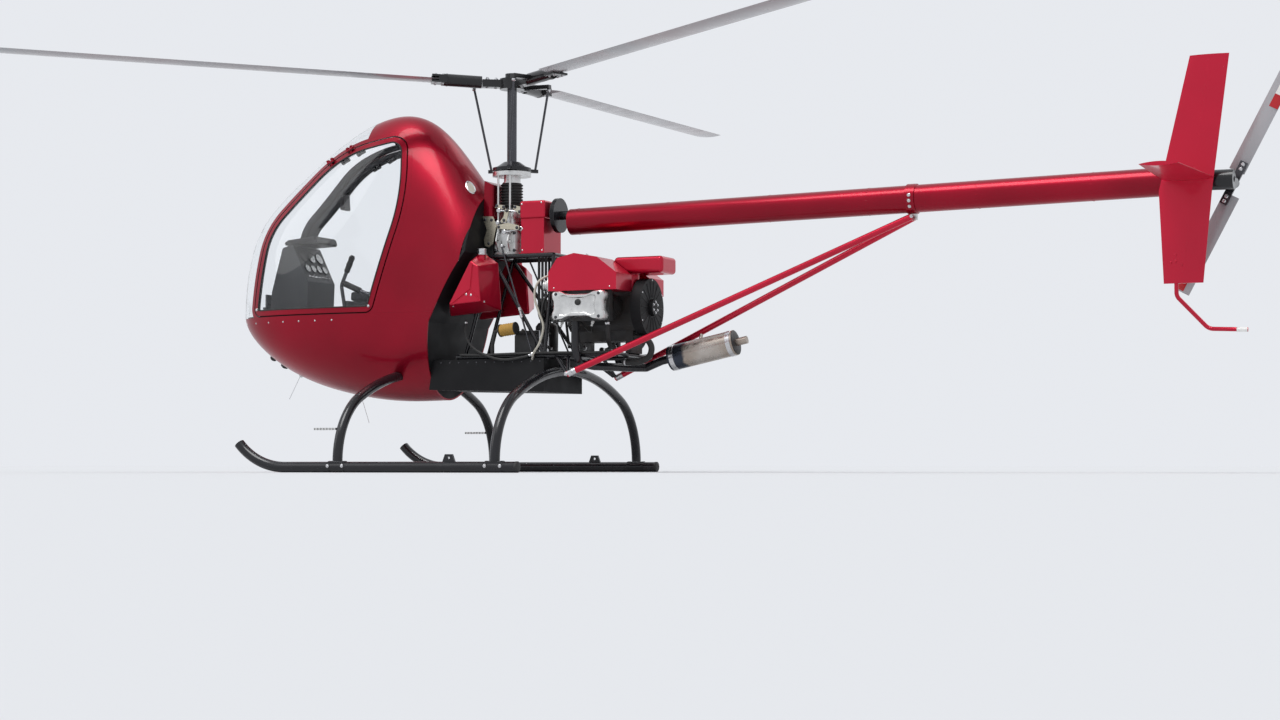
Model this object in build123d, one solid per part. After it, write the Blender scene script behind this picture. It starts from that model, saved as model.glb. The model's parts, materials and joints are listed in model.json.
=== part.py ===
from build123d import *
from math import cos, radians, sin, sqrt, tan
import os

# A light single-place helicopter with an open engine bay, parked on its skids.
# Lengths are in millimetres. The pieces are drawn from the main rotor axis (x forward,
# y to port, z up from the ground) and are moved to the middle of the footprint when written.

# Driving dimensions
SKID_TRACK = 1850
HUB_HEIGHT = 2260
ROTOR_RADIUS = 3350
TAIL_ARM = 4100
CABIN_HALF_WIDTH = 385
ORIGIN_X = -768
ORIGIN_Y = -736

# Clearances
SEAT_GAP = 0.3
RUNNING_FIT = 0.05
SWING_GAP = 8

# Cabin shell thicknesses and levels
HULL_SKIN = 10
RAIL_DEPTH = 25
RAIL_WIDTH = 26
DOOR_RAIL = 32
GLASS = 5
WINDSHIELD_END_X = 870
SILL_Z = 920
FLOOR_Z = 880
FLOOR_THICK = 10
FIREWALL_THICK = 12

# Cabin stations: place along the aircraft, belly height, widest height, crown height,
# share of the full half width, how far a skin's thickness moves its inner station back
CABIN_STATIONS = [
    (1785, 940, 965, 1060, 0.10, 1.0),
    (1760, 880, 950, 1240, 0.26, 0.7),
    (1690, 780, 930, 1460, 0.52, 0.35),
    (1540, 655, 915, 1640, 0.77, 0),
    (1300, 535, 905, 1830, 0.93, 0),
    (1000, 455, 900, 2030, 1.00, 0),
    (720, 420, 900, 2115, 0.99, 0),
    (450, 420, 900, 2010, 0.95, 0),
    (90, 450, 900, 1640, 0.76, 1.0),
]
# Rear edge of the cabin shell in side view, from the belly up: x, z
CABIN_REAR = [(420, 380), (345, 860), (135, 1260), (112, 2200)]
# Door outline in side view: x, z, corner radius
DOOR_CORNERS = [
    (1585, SILL_Z + SWING_GAP, 50),
    (1535, 1450, 350),
    (1060, 1900, 700),
    (600, 1985, 110),
    (530, 1600, 900),
    (720, SILL_Z + SWING_GAP, 50),
]
HINGE_AT = (1046, 1873)
HINGE_SLOPE_DEG = 27
HINGE_Y = 194
HINGE_R = 7
HINGE_PIN_R = 3.5
HINGE_LENGTH = 44
HINGE_SPACING = 150
HINGE_DROP = 26
HINGE_RISE = 22
HINGE_LEAF = 14

# Skids and legs
SKID_R = 30
SKID_REAR_X = -518
SKID_BEND_X = 950
SKID_BEND_R = 400
SKID_BEND_DEG = 48
FRONT_LEG_X = 602
REAR_LEG_X = -379
LEG_R = 28
LEG_BEND_R = 400
LEG_BEND_DEG = 65
LEG_FOOT_Z = 2 * SKID_R + SEAT_GAP

# Tail boom
BOOM_R = 75
BOOM_WALL = 4
BOOM_FRONT = (-387, 0, 1437)
BOOM_REAR = (-3985, 0, 1502)
BRACE_R = 18
BRACE_TOP_X = -2430
BRACE_FOOT = (-518, 326, 548)

# Rotor
ROTOR_REST_DEG = 33
BLADES = 3
PRECONE_DEG = 2.5
MAST_R = 28
MAST_BASE_Z = 1450
BLADE_CHORD = 180
BLADE_ROOT_R = 430
BLADE_THICK = 22
CREST_SHARE = 0.5
TRAILING_EDGE = 1.6
SWASH_Z = 1760
SWASH_R = 112

# Tail rotor
TAIL_HUB = (-TAIL_ARM, -165, 1495)
TAIL_ROTOR_RADIUS = 620
TAIL_CHORD = 85
TAIL_REST_DEG = 62
TAIL_SHAFT_R = 14


def rod(start, end, radius):
    """A straight round bar from one point to another."""
    a, b = Vector(*start), Vector(*end)
    plane = Plane(origin=a, z_dir=(b - a))
    return extrude(plane * Circle(radius), (b - a).length)


def bent_bar(points, radii, radius):
    """A round bar along straight runs joined by arcs."""
    path = FilletPolyline(*points, radius=radii)
    section = Plane(origin=path @ 0, z_dir=path % 0) * Circle(radius)
    return sweep(section, path=path)


def block(x0, x1, y0, y1, z0, z1):
    """A box from its lowest and highest corners."""
    centre = ((x0 + x1) / 2, (y0 + y1) / 2, (z0 + z1) / 2)
    return Pos(*centre) * Box(abs(x1 - x0), abs(y1 - y0), abs(z1 - z0))


def side_prism(outline, y0, y1):
    """A side-view face, given in x and z, drawn out from y0 to y1."""
    plane = Plane(origin=(0, y0, 0), x_dir=(1, 0, 0), z_dir=(0, 1, 0))
    face = plane * Rot(180, 0, 0) * outline
    return extrude(face, y1 - y0, dir=(0, 1, 0))


def mirrored(shape):
    """The same piece on the starboard side."""
    return mirror(shape, about=Plane.XZ)


def together(pieces):
    """Separate solids kept as one piece."""
    group = Part()
    for piece in pieces:
        group += piece
    return group


def side_face(points):
    """A straight-sided side-view face from x, z pairs."""
    return make_face(Polyline(*[(x, z) for x, z in points], close=True).edges())


def cabin_form(inset):
    """The egg-shaped cabin, drawn in from its outer skin by an inset."""
    sections = []
    for x, belly, widest, crown, share, shift in CABIN_STATIONS:
        half = CABIN_HALF_WIDTH * share - inset
        centre = (0, widest)
        lower = EllipticalCenterArc(centre, half, widest - belly - inset, 180, arc_size=180)
        upper = EllipticalCenterArc(centre, half, crown - widest - inset, 0, arc_size=180)
        plane = Plane(origin=(x - inset * shift, 0, 0), x_dir=(0, 1, 0), z_dir=(1, 0, 0))
        sections.append(plane * make_face([lower, upper]))
    return loft(sections)


def door_face(grow):
    """The door outline in side view, larger by the given amount."""
    points = [(x, z) for x, z, _ in DOOR_CORNERS]
    radii = [r for _, _, r in DOOR_CORNERS]
    face = make_face(FilletPolyline(*points, radius=radii, close=True).edges())
    return offset(face, grow, kind=Kind.INTERSECTION) if grow else face


WIDE = 2 * CABIN_HALF_WIDTH
FAR = 3000


def door_prism(grow):
    """The door outline drawn through the port side of the cabin only."""
    return side_prism(door_face(grow), 1, WIDE)


def door_cut(grow):
    """The door outline drawn through both sides."""
    return side_prism(door_face(grow), -WIDE, WIDE)


class Cabin:
    """The cabin's outer and inner forms, shared by its panels."""

    outer = cabin_form(0)
    behind_glass = cabin_form(GLASS)
    behind_skin = cabin_form(HULL_SKIN)
    behind_rail = cabin_form(RAIL_DEPTH)
    lining = cabin_form(HULL_SKIN + SEAT_GAP)
    ahead_of_rear = side_prism(
        side_face(CABIN_REAR + [(FAR, 2200), (FAR, 380)]), -WIDE, WIDE
    )


def leg_points():
    """Where a leg arch passes from its shoulder to its crown, and its crown height."""
    bend = radians(LEG_BEND_DEG)
    shoulder_y = SKID_TRACK / 2 - LEG_BEND_R * (1 - cos(bend))
    shoulder_z = LEG_FOOT_Z + LEG_BEND_R * sin(bend)
    crown_r = shoulder_y / sin(radians(90) - bend)
    crown_z = shoulder_z + crown_r * (1 - sin(bend))
    return shoulder_y, shoulder_z, crown_z


def leg(x):
    """An arched cross tube: an upright foot, a round shoulder and a flat crown."""
    half = SKID_TRACK / 2
    shoulder_y, shoulder_z, crown_z = leg_points()
    mid = radians(LEG_BEND_DEG / 2)
    mid_y = half - LEG_BEND_R * (1 - cos(mid))
    mid_z = LEG_FOOT_Z + LEG_BEND_R * sin(mid)
    feet = [
        ThreePointArc((x, half, LEG_FOOT_Z), (x, mid_y, mid_z), (x, shoulder_y, shoulder_z)),
        ThreePointArc(
            (x, shoulder_y, shoulder_z), (x, 0, crown_z), (x, -shoulder_y, shoulder_z)
        ),
        ThreePointArc((x, -shoulder_y, shoulder_z), (x, -mid_y, mid_z), (x, -half, LEG_FOOT_Z)),
    ]
    path = Wire(feet)
    section = Plane(origin=(x, half, LEG_FOOT_Z), z_dir=(0, 0, 1)) * Circle(LEG_R)
    return sweep(section, path=path)


def hull():
    tub = Cabin.outer - Cabin.behind_skin
    tub &= Cabin.ahead_of_rear
    tub -= block(-FAR, FAR, -WIDE, WIDE, SILL_Z, FAR)
    return tub - leg_clearance(FRONT_LEG_X)


def crown_height(y):
    """The height of a leg's centre line at a place across its crown."""
    shoulder_y, _, crown_z = leg_points()
    crown_r = shoulder_y / cos(radians(LEG_BEND_DEG))
    return crown_z - crown_r + sqrt(crown_r**2 - y**2)


def leg_clearance(x):
    """The passage for a leg, a seat gap wider than the tube."""
    shoulder_y, shoulder_z, crown_z = leg_points()
    arch = ThreePointArc(
        (x, shoulder_y, shoulder_z), (x, 0, crown_z), (x, -shoulder_y, shoulder_z)
    )
    plane = Plane(origin=arch @ 0, z_dir=arch % 0)
    return sweep(plane * Circle(LEG_R + SEAT_GAP), path=arch)


def windshield():
    glass = Cabin.outer - Cabin.behind_glass
    glass &= block(WINDSHIELD_END_X + SEAT_GAP, FAR, -WIDE, WIDE, SILL_Z + SEAT_GAP, FAR)
    return glass - door_cut(SWING_GAP + RAIL_WIDTH + SEAT_GAP)


def canopy_frame():
    rail = Cabin.outer - Cabin.behind_rail
    rail &= block(-FAR, FAR, -WIDE, WIDE, SILL_Z + SEAT_GAP, FAR)
    rail &= door_cut(SWING_GAP + RAIL_WIDTH) - door_cut(SWING_GAP)
    ears = hinge_ears()
    return rail + ears + mirrored(ears)


def roof_shell():
    shell = Cabin.outer - Cabin.behind_skin
    shell &= Cabin.ahead_of_rear
    shell &= block(-FAR, WINDSHIELD_END_X, -WIDE, WIDE, SILL_Z + SEAT_GAP, FAR)
    return shell - door_cut(SWING_GAP + RAIL_WIDTH + SEAT_GAP)


def hinge_place(along):
    """A place on the hinge line: x along the pin, y outboard, z up the roof."""
    spot = Plane(origin=(HINGE_AT[0], HINGE_Y, HINGE_AT[1]), x_dir=(1, 0, 0), z_dir=(0, 0, 1))
    return spot.location * Rot(0, HINGE_SLOPE_DEG, 0) * Pos(along - HINGE_LENGTH / 2, 0, 0)


def knuckle(start, length, drop):
    """One hinge knuckle with a leaf that runs down or up on to its rail."""
    barrel = Pos(start, 0, 0) * Rot(0, 90, 0) * Cylinder(
        HINGE_R, length, align=(Align.CENTER, Align.CENTER, Align.MIN))
    leaf = block(start, start + length, -HINGE_R - HINGE_LEAF, 0, min(0, drop), max(0, drop))
    return barrel + leaf


def hinge_bore(radius):
    return Pos(-HINGE_LENGTH, 0, 0) * Rot(0, 90, 0) * Cylinder(
        radius, 3 * HINGE_LENGTH, align=(Align.CENTER, Align.CENTER, Align.MIN))


def port_door():
    skin = Cabin.outer - Cabin.behind_rail
    door = skin & (door_prism(0) - door_prism(-DOOR_RAIL))
    third = HINGE_LENGTH / 3
    for along in (-HINGE_SPACING / 2, HINGE_SPACING / 2):
        centre = knuckle(third + SEAT_GAP, third - 2 * SEAT_GAP, -HINGE_DROP)
        door += hinge_place(along) * (centre - hinge_bore(HINGE_PIN_R + RUNNING_FIT))
    return door


def hinge_ears():
    """The outer knuckles and pins that the port rail carries."""
    third = HINGE_LENGTH / 3
    ears = Part()
    for along in (-HINGE_SPACING / 2, HINGE_SPACING / 2):
        pair = knuckle(0, third, HINGE_RISE) + knuckle(2 * third, third, HINGE_RISE)
        pin = Rot(0, 90, 0) * Cylinder(
            HINGE_PIN_R, HINGE_LENGTH, align=(Align.CENTER, Align.CENTER, Align.MIN))
        ears += hinge_place(along) * (pair + pin)
    return ears


def port_door_glass():
    skin = Cabin.outer - Cabin.behind_glass
    return skin & door_prism(-DOOR_RAIL - SEAT_GAP)


def floor_panel():
    slab = block(300, 1640, -WIDE, WIDE, FLOOR_Z, FLOOR_Z + FLOOR_THICK)
    ahead = Cabin.ahead_of_rear & block(-FAR, FAR, -WIDE, WIDE, 0, FAR)
    return (Cabin.lining & slab) & Pos(FIREWALL_THICK + SEAT_GAP, 0, 0) * ahead


def firewall():
    """The folded panel that closes the back of the cabin."""
    band = Cabin.ahead_of_rear - Pos(FIREWALL_THICK, 0, 0) * Cabin.ahead_of_rear
    return Cabin.lining & band


# What stands on the floor
FLOOR_TOP = FLOOR_Z + FLOOR_THICK + SEAT_GAP
PANEL_HALF_WIDTH = 150
# Pedestal above its foot, from the nose side over the top to the pilot's side: x, z
PANEL_SIDE = [(1545, 1080), (1470, 1345), (1400, 1365), (1290, 1140)]
PANEL_FOOT_X = (1300, 1560)
PANEL_TOP_R = 18


def instrument_panel():
    """A pedestal with a sloping panel, wider at its foot."""
    rear, front = PANEL_FOOT_X
    side = side_face([(front, FLOOR_TOP), *PANEL_SIDE, (rear, FLOOR_TOP)])
    pedestal = side_prism(side, -PANEL_HALF_WIDTH, PANEL_HALF_WIDTH)
    return fillet(pedestal.edges().filter_by(Axis.Y).sort_by(Axis.Z)[-2:], PANEL_TOP_R)


SEAT_HALF_WIDTH = 220
SEAT_PAD_HALF_WIDTH = 205
# Seat bucket above its foot, from the knee over the pan to the top of the back: x, z
SEAT_SIDE = [(990, 1010), (640, 975), (560, 1010), (440, 1560), (410, 1560), (520, 940)]
SEAT_FOOT_X = (560, 960)
PAN_PAD_THICK = 60
BACK_PAD_THICK = 62


def seat_frame():
    """A moulded bucket: a box base and a raked back."""
    rear, front = SEAT_FOOT_X
    side = side_face([(front, FLOOR_TOP), *SEAT_SIDE, (rear, FLOOR_TOP)])
    return side_prism(side, -SEAT_HALF_WIDTH, SEAT_HALF_WIDTH)


def seat_pad(a, b, thick):
    """A pad to the left of one stretch of the seat's outline, a seat gap off it."""
    along = (b - a).normalized()
    out = Vector(-along.Y, along.X)
    low = [a + out * SEAT_GAP, b + out * SEAT_GAP]
    high = [b + out * thick, a + out * thick]
    side = side_face([(p.X, p.Y) for p in low + high])
    return side_prism(side, -SEAT_PAD_HALF_WIDTH, SEAT_PAD_HALF_WIDTH)


def seat_cushion():
    """The pan pad, from the hip to the knee."""
    knee, hip = SEAT_SIDE[:2]
    return seat_pad(Vector(*hip), Vector(*knee), PAN_PAD_THICK)


BACK_PAD_RISE = 0.1


def back_cushion():
    """The back pad, which starts above the pan pad's top."""
    foot, top = Vector(*SEAT_SIDE[2]), Vector(*SEAT_SIDE[3])
    return seat_pad(top, foot + (top - foot) * BACK_PAD_RISE, BACK_PAD_THICK)


LEVER_R = 11
STICK_X = 1120
STICK_BOSS_R = 32
LEVER_BOSS_R = 26
BOSS_HEIGHT = 24
STICK_TOP = (1075, 1290)
STICK_KNEE = (1150, 1120)
LEVER_AT = (700, 250)
LEVER_KNEE = (740, 1010)
LEVER_TOP = (980, 1110)


def control_stick():
    """The cyclic stick on its floor boss."""
    stick = bent_bar([(STICK_X, 0, FLOOR_TOP), (STICK_X, 0, FLOOR_TOP + 2.5 * BOSS_HEIGHT),
                      (STICK_KNEE[0], 0, STICK_KNEE[1]), (STICK_TOP[0], 0, STICK_TOP[1])],
                     [50, 60], LEVER_R)
    return stick + rod((STICK_X, 0, FLOOR_TOP), (STICK_X, 0, FLOOR_TOP + BOSS_HEIGHT),
                       STICK_BOSS_R)


def collective_lever():
    """The collective lever beside the seat."""
    x, y = LEVER_AT
    lever = bent_bar([(x, y, FLOOR_TOP), (x, y, FLOOR_TOP + 2 * BOSS_HEIGHT),
                      (LEVER_KNEE[0], y, LEVER_KNEE[1]), (LEVER_TOP[0], y, LEVER_TOP[1])],
                     [40, 50], LEVER_R)
    return lever + rod((x, y, FLOOR_TOP), (x, y, FLOOR_TOP + BOSS_HEIGHT), LEVER_BOSS_R)


PEDAL_X = 1600
PEDAL_SHAFT_Z = 985
PEDAL_SHAFT_R = 8
PEDAL_HALF_SPAN = 150
PEDAL_Y = 100
PEDAL_HALF_WIDTH = 32
PEDAL_HEIGHT = 85
PEDAL_THICK = 10
PEDAL_BRACKET = 12


def pedals():
    """Two pedals on one cross shaft with a floor bracket."""
    bar = rod((PEDAL_X, -PEDAL_HALF_SPAN, PEDAL_SHAFT_Z), (PEDAL_X, PEDAL_HALF_SPAN, PEDAL_SHAFT_Z),
              PEDAL_SHAFT_R)
    bar += block(PEDAL_X - PEDAL_BRACKET, PEDAL_X + PEDAL_BRACKET, -PEDAL_BRACKET, PEDAL_BRACKET,
                 FLOOR_TOP, PEDAL_SHAFT_Z)
    low = PEDAL_SHAFT_Z - PEDAL_THICK
    for side in (-1, 1):
        y = side * PEDAL_Y
        bar += block(PEDAL_X - PEDAL_SHAFT_R, PEDAL_X - PEDAL_SHAFT_R + PEDAL_THICK,
                     y - PEDAL_HALF_WIDTH, y + PEDAL_HALF_WIDTH, low, low + PEDAL_HEIGHT + PEDAL_THICK)
    return bar


# Side tanks
TANK_INNER_Y = 170
TANK_OUTER_Y = 345
TANK_CORNERS = [(318, 898), (105, 1275), (-8, 1200), (-30, 925)]
TANK_TAPER_DEG = 16
TANK_EDGE_R = 9
# Where the pressed star meets, and the ends of its three arms: x, z
TANK_STAR = (85, 1040)
TANK_STAR_ARMS = [(210, 955), (70, 1180), (20, 975)]
GROOVE_R = 5
CAP_AT = (75, 1255)
CAP_R = 24
CAP_HEIGHT = 26


def fuel_tank_port():
    """A flattened four-sided pyramid with a filler cap and shallow star grooves."""
    base = side_face(TANK_CORNERS)
    plane = Plane(origin=(0, TANK_INNER_Y, 0), x_dir=(1, 0, 0), z_dir=(0, 1, 0))
    face = plane * Rot(180, 0, 0) * base
    depth = TANK_OUTER_Y - TANK_INNER_Y
    tank = extrude(face, depth, dir=(0, 1, 0), taper=TANK_TAPER_DEG)
    tank = fillet(tank.edges(), TANK_EDGE_R)
    x, z = TANK_STAR
    for arm_x, arm_z in TANK_STAR_ARMS:
        tank -= rod((x, TANK_OUTER_Y, z), (arm_x, TANK_OUTER_Y, arm_z), GROOVE_R)
    x, z = CAP_AT
    middle_y = TANK_INNER_Y + depth / 3
    return tank + rod((x, middle_y, z - 2 * CAP_HEIGHT), (x, middle_y, z + CAP_HEIGHT), CAP_R)


RAIL_R = 14
UPRIGHT_R = 11
CROSS_BAR_R = 12
# Frame points on the port side: x, y, z
FRAME_POINTS = {
    "front_low": (230, 230, 660),
    "front_inner": (230, 135, 660),
    "front_high": (60, 135, 1240),
    "mid_low": (-330, 230, 660),
    "mid_high": (-340, 135, 1240),
    "rear_low": (-780, 230, 660),
    "outrigger": (-480, 230, 660),
    "outrigger_front": (-400, 230, 660),
    "brace_foot": BRACE_FOOT,
}
# Tubes of one side: first point, second point, radius
FRAME_SIDES = [
    ("front_low", "rear_low", RAIL_R),
    ("front_inner", "front_high", UPRIGHT_R),
    ("mid_low", "front_high", UPRIGHT_R),
    ("mid_low", "mid_high", UPRIGHT_R),
    ("front_high", "mid_high", RAIL_R),
    ("outrigger", "brace_foot", UPRIGHT_R),
    ("outrigger_front", "brace_foot", UPRIGHT_R),
]
FRAME_CROSS_BARS = ("front_low", "front_high", "mid_low", "mid_high", "outrigger", "rear_low")
SADDLE_Y = 120
TANK_MOUNT_SHARES = (0.5, 0.82)


def lower_frame():
    """The welded base frame: side rails, uprights to the gearbox deck and cross bars."""
    p = FRAME_POINTS
    side = Part()
    for first, second, radius in FRAME_SIDES:
        side += rod(p[first], p[second], radius)
    rail_z = p["mid_low"][2]
    side += rod((REAR_LEG_X, SADDLE_Y, crown_height(SADDLE_Y)), (REAR_LEG_X, SADDLE_Y, rail_z),
                UPRIGHT_R)
    for share in TANK_MOUNT_SHARES:
        x, y, z = Vector(*p["front_inner"]) * (1 - share) + Vector(*p["front_high"]) * share
        side += rod((x, y, z), (x, TANK_INNER_Y - SEAT_GAP, z), UPRIGHT_R - 2)
    near, far = SADDLE_Y - UPRIGHT_R - 2, SADDLE_Y + UPRIGHT_R + 2
    side -= rod((REAR_LEG_X, near, crown_height(near)), (REAR_LEG_X, far, crown_height(far)),
                LEG_R + SEAT_GAP)
    side -= brace_bar(1, BRACE_R + SEAT_GAP, 3 * UPRIGHT_R)
    frame = side + mirrored(side)
    for name in FRAME_CROSS_BARS:
        x, y, z = p[name]
        frame += rod((x, -y, z), (x, y, z), CROSS_BAR_R)
    rail_y = p["mid_low"][1]
    return frame + rod((REAR_LEG_X, -rail_y, rail_z), (REAR_LEG_X, rail_y, rail_z), CROSS_BAR_R)


def rear_edge_x(z):
    """The cabin's rear edge at a height, on its lowest straight stretch."""
    (x0, z0), (x1, z1) = CABIN_REAR[:2]
    return x0 + (x1 - x0) * (z - z0) / (z1 - z0)


PAN_TOP_Z = 646
PAN_FRONT_Z = 475
PAN_REAR_Z = 455
PAN_REAR_X = -335
PAN_HALF_WIDTH = 250
PAN_WALL = 4


def belly_pan():
    """A shallow open tray hung under the side rails."""
    outline = [(rear_edge_x(PAN_TOP_Z) - SEAT_GAP, PAN_TOP_Z),
               (rear_edge_x(PAN_FRONT_Z) - SEAT_GAP, PAN_FRONT_Z),
               (PAN_REAR_X, PAN_REAR_Z), (PAN_REAR_X, PAN_TOP_Z)]
    face = side_face(outline)
    tray = side_prism(face, -PAN_HALF_WIDTH, PAN_HALF_WIDTH)
    hollow = side_prism(offset(face, -PAN_WALL), PAN_WALL - PAN_HALF_WIDTH,
                        PAN_HALF_WIDTH - PAN_WALL)
    lid = Pos(0, 0, 2 * PAN_WALL) * hollow
    return tray - (hollow + lid)


SADDLE_HALF = 48
LUG_HOLE_X = -100
LUG_HOLE_Z = 2 * SKID_R + 20
LUG_HOLE_R = 8
LUG_THICK = 16
LUG_HEIGHT = 40
LUG_FOOT_HALF = 40
LUG_TOP_HALF = 22
LUG_ROOT = 8


def skid(side):
    """A skid tube with an upturned toe, capped ends and a ground-wheel lug."""
    y = side * SKID_TRACK / 2
    bend = radians(SKID_BEND_DEG)
    corner = SKID_BEND_X + SKID_BEND_R * tan(bend / 2)
    toe = SKID_BEND_R * tan(bend / 2)
    points = [
        (SKID_REAR_X, y, SKID_R),
        (corner, y, SKID_R),
        (corner + toe * cos(bend), y, SKID_R + toe * sin(bend)),
    ]
    tube = bent_bar(points, SKID_BEND_R * 0.999, SKID_R)
    root, top = 2 * SKID_R - LUG_ROOT, 2 * SKID_R + LUG_HEIGHT
    lug = side_face([(LUG_HOLE_X - LUG_FOOT_HALF, root), (LUG_HOLE_X + LUG_FOOT_HALF, root),
                     (LUG_HOLE_X + LUG_TOP_HALF, top), (LUG_HOLE_X - LUG_TOP_HALF, top)])
    tube += side_prism(lug, y - LUG_THICK / 2, y + LUG_THICK / 2)
    for x in (FRONT_LEG_X, REAR_LEG_X):
        tube += block(x - SADDLE_HALF, x + SADDLE_HALF, y - 0.8 * SKID_R, y + 0.8 * SKID_R,
                      1.5 * SKID_R, 2 * SKID_R)
    tube -= rod((LUG_HOLE_X, y - LUG_THICK, LUG_HOLE_Z), (LUG_HOLE_X, y + LUG_THICK, LUG_HOLE_Z),
                LUG_HOLE_R)
    return tube


PEG_Z = 242
PEG_LENGTH = 140
PEG_HALF_WIDTH = 22
PEG_THICK = 12
PEG_TEETH = 7
TOOTH_PITCH = 20
TOOTH_GAP = 9
TOOTH_DEPTH = 8


def foot_pegs():
    """Toothed steps that point forward from the front legs."""
    pegs = []
    for side in (-1, 1):
        rise = (PEG_Z - LEG_FOOT_Z) / LEG_BEND_R
        y = side * (SKID_TRACK / 2 - LEG_BEND_R * (1 - sqrt(1 - rise**2)))
        x0 = FRONT_LEG_X + LEG_R + SEAT_GAP
        peg = block(x0, x0 + PEG_LENGTH, y - PEG_HALF_WIDTH, y + PEG_HALF_WIDTH,
                    PEG_Z - PEG_THICK / 2, PEG_Z + PEG_THICK / 2)
        root = PEG_HALF_WIDTH - TOOTH_DEPTH
        for i in range(PEG_TEETH):
            x = x0 + TOOTH_PITCH / 2 + TOOTH_PITCH * i
            for edge in (-1, 1):
                peg -= block(x, x + TOOTH_GAP, min(y + edge * root, y + edge * 2 * root),
                             max(y + edge * root, y + edge * 2 * root),
                             PEG_Z - PEG_THICK, PEG_Z + PEG_THICK)
        pegs.append(peg)
    return together(pegs)


# Engine
ENGINE_FRONT_X = -420
ENGINE_REAR_X = -830
CRANK_Z = 930
FAN_R = 165
CASE_HALF_WIDTH = 115
CASE_UNDER = 130
CASE_OVER = 95
CASE_CHAMFER = 30
SUMP_HALF_WIDTH = 80
SUMP_INSET = 20
SUMP_UNDER = 190
FOOT_HALF = 18
FOOT_HALF_WIDTH = 75


def engine_block():
    """The crankcase with its sump and two feet on the frame's cross bars."""
    case = block(ENGINE_REAR_X, ENGINE_FRONT_X, -CASE_HALF_WIDTH, CASE_HALF_WIDTH,
                 CRANK_Z - CASE_UNDER, CRANK_Z + CASE_OVER)
    case = chamfer(case.edges().filter_by(Axis.X), CASE_CHAMFER)
    case += block(ENGINE_REAR_X + SUMP_INSET, ENGINE_FRONT_X - SUMP_INSET, -SUMP_HALF_WIDTH,
                  SUMP_HALF_WIDTH, CRANK_Z - SUMP_UNDER, CRANK_Z - CASE_UNDER + 1)
    deck = FRAME_POINTS["rear_low"][2] + CROSS_BAR_R + SEAT_GAP
    for point in ("outrigger", "rear_low"):
        x = FRAME_POINTS[point][0]
        case += block(x - FOOT_HALF, x + FOOT_HALF, -FOOT_HALF_WIDTH, FOOT_HALF_WIDTH, deck,
                      CRANK_Z - SUMP_UNDER + 10)
    return case


CYLINDER_X = (-500, -690)
CYLINDER_R = 62
HEAD_Y = (255, 300)
HEAD_HALF_HEIGHT = 85
VALVE_COVER_Y = 362
COVER_SIZE = (330, 165)
COVER_CORNER_R = 26
COVER_TAPER_DEG = 8
BARREL_FINS = 6
FIN_PITCH = 20
FIN_WIDTH = 6
FIN_REACH = 16
FIN_FIRST_Y = 130
HEAD_OVERHANG = 75


def cylinders():
    """Four finned barrels with their heads, two to each side."""
    barrels = []
    for side in (-1, 1):
        group = Part()
        for x in CYLINDER_X:
            group += rod((x, side * (CASE_HALF_WIDTH + SEAT_GAP), CRANK_Z),
                         (x, side * HEAD_Y[0], CRANK_Z), CYLINDER_R)
            for i in range(BARREL_FINS):
                y = FIN_FIRST_Y + FIN_PITCH * i
                group += rod((x, side * y, CRANK_Z), (x, side * (y + FIN_WIDTH), CRANK_Z),
                             CYLINDER_R + FIN_REACH)
        head = block(CYLINDER_X[1] - HEAD_OVERHANG, CYLINDER_X[0] + HEAD_OVERHANG,
                     side * HEAD_Y[0], side * HEAD_Y[1],
                     CRANK_Z - HEAD_HALF_HEIGHT, CRANK_Z + HEAD_HALF_HEIGHT)
        group += head
        barrels.append(group)
    return together(barrels)


def valve_covers():
    covers = []
    for side in (-1, 1):
        y0 = HEAD_Y[1] + SEAT_GAP
        plane = Plane(origin=((CYLINDER_X[0] + CYLINDER_X[1]) / 2, side * y0, CRANK_Z),
                      x_dir=(1, 0, 0), z_dir=(0, side, 0))
        cover = extrude(plane * RectangleRounded(*COVER_SIZE, COVER_CORNER_R),
                        VALVE_COVER_Y - y0, taper=COVER_TAPER_DEG)
        covers.append(cover)
    return together(covers)


COWL_INNER_Y = 120
COWL_OUTER_Y = 330
COWL_ENDS_X = (-400, -820)
# Facets over the cowl, from front to rear: x, z
COWL_TOP = [(-400, 1120), (-455, 1200), (-560, 1225), (-700, 1200), (-820, 1110)]


def engine_cowls():
    """Faceted air ducts over the cylinders of each side."""
    base = CRANK_Z + HEAD_HALF_HEIGHT + SEAT_GAP
    front, rear = COWL_ENDS_X
    side_view = side_face([(front, base), *COWL_TOP, (rear, base)])
    port = side_prism(side_view, COWL_INNER_Y, COWL_OUTER_Y)
    return together([port, mirrored(port)])


AIRBOX_X = (-1000, -700)
AIRBOX_Y = (-105, 105)
AIRBOX_Z = (1120, 1215)
AIRBOX_EDGE_R = 22
RISER_X = -765
RISER_R = 45


def airbox():
    """The intake box between the cowls and over the fan, on its riser."""
    box = fillet(block(*AIRBOX_X, *AIRBOX_Y, *AIRBOX_Z).edges(), AIRBOX_EDGE_R)
    return box + rod((RISER_X, 0, CRANK_Z + CASE_OVER + SEAT_GAP), (RISER_X, 0, AIRBOX_Z[0] + 5),
                     RISER_R)


FAN_DEPTH = 62
FAN_BOSS_R = 48
FAN_BOSS_DEPTH = 22


def fan_housing():
    """The round blower casing on the rear of the crankcase."""
    front = ENGINE_REAR_X - SEAT_GAP
    rear = ENGINE_REAR_X - FAN_DEPTH
    ring = rod((front, 0, CRANK_Z), (rear, 0, CRANK_Z), FAN_R)
    return ring + rod((rear + 1, 0, CRANK_Z), (rear - FAN_BOSS_DEPTH, 0, CRANK_Z), FAN_BOSS_R)


MUFFLER_FRONT = (-930, -190, 650)
MUFFLER_REAR = (-1325, -190, 733)
MUFFLER_R = 72
TAILPIPE = 70
TAILPIPE_R = 22
HANGER_X = -1100
HANGER_R = 10


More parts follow.
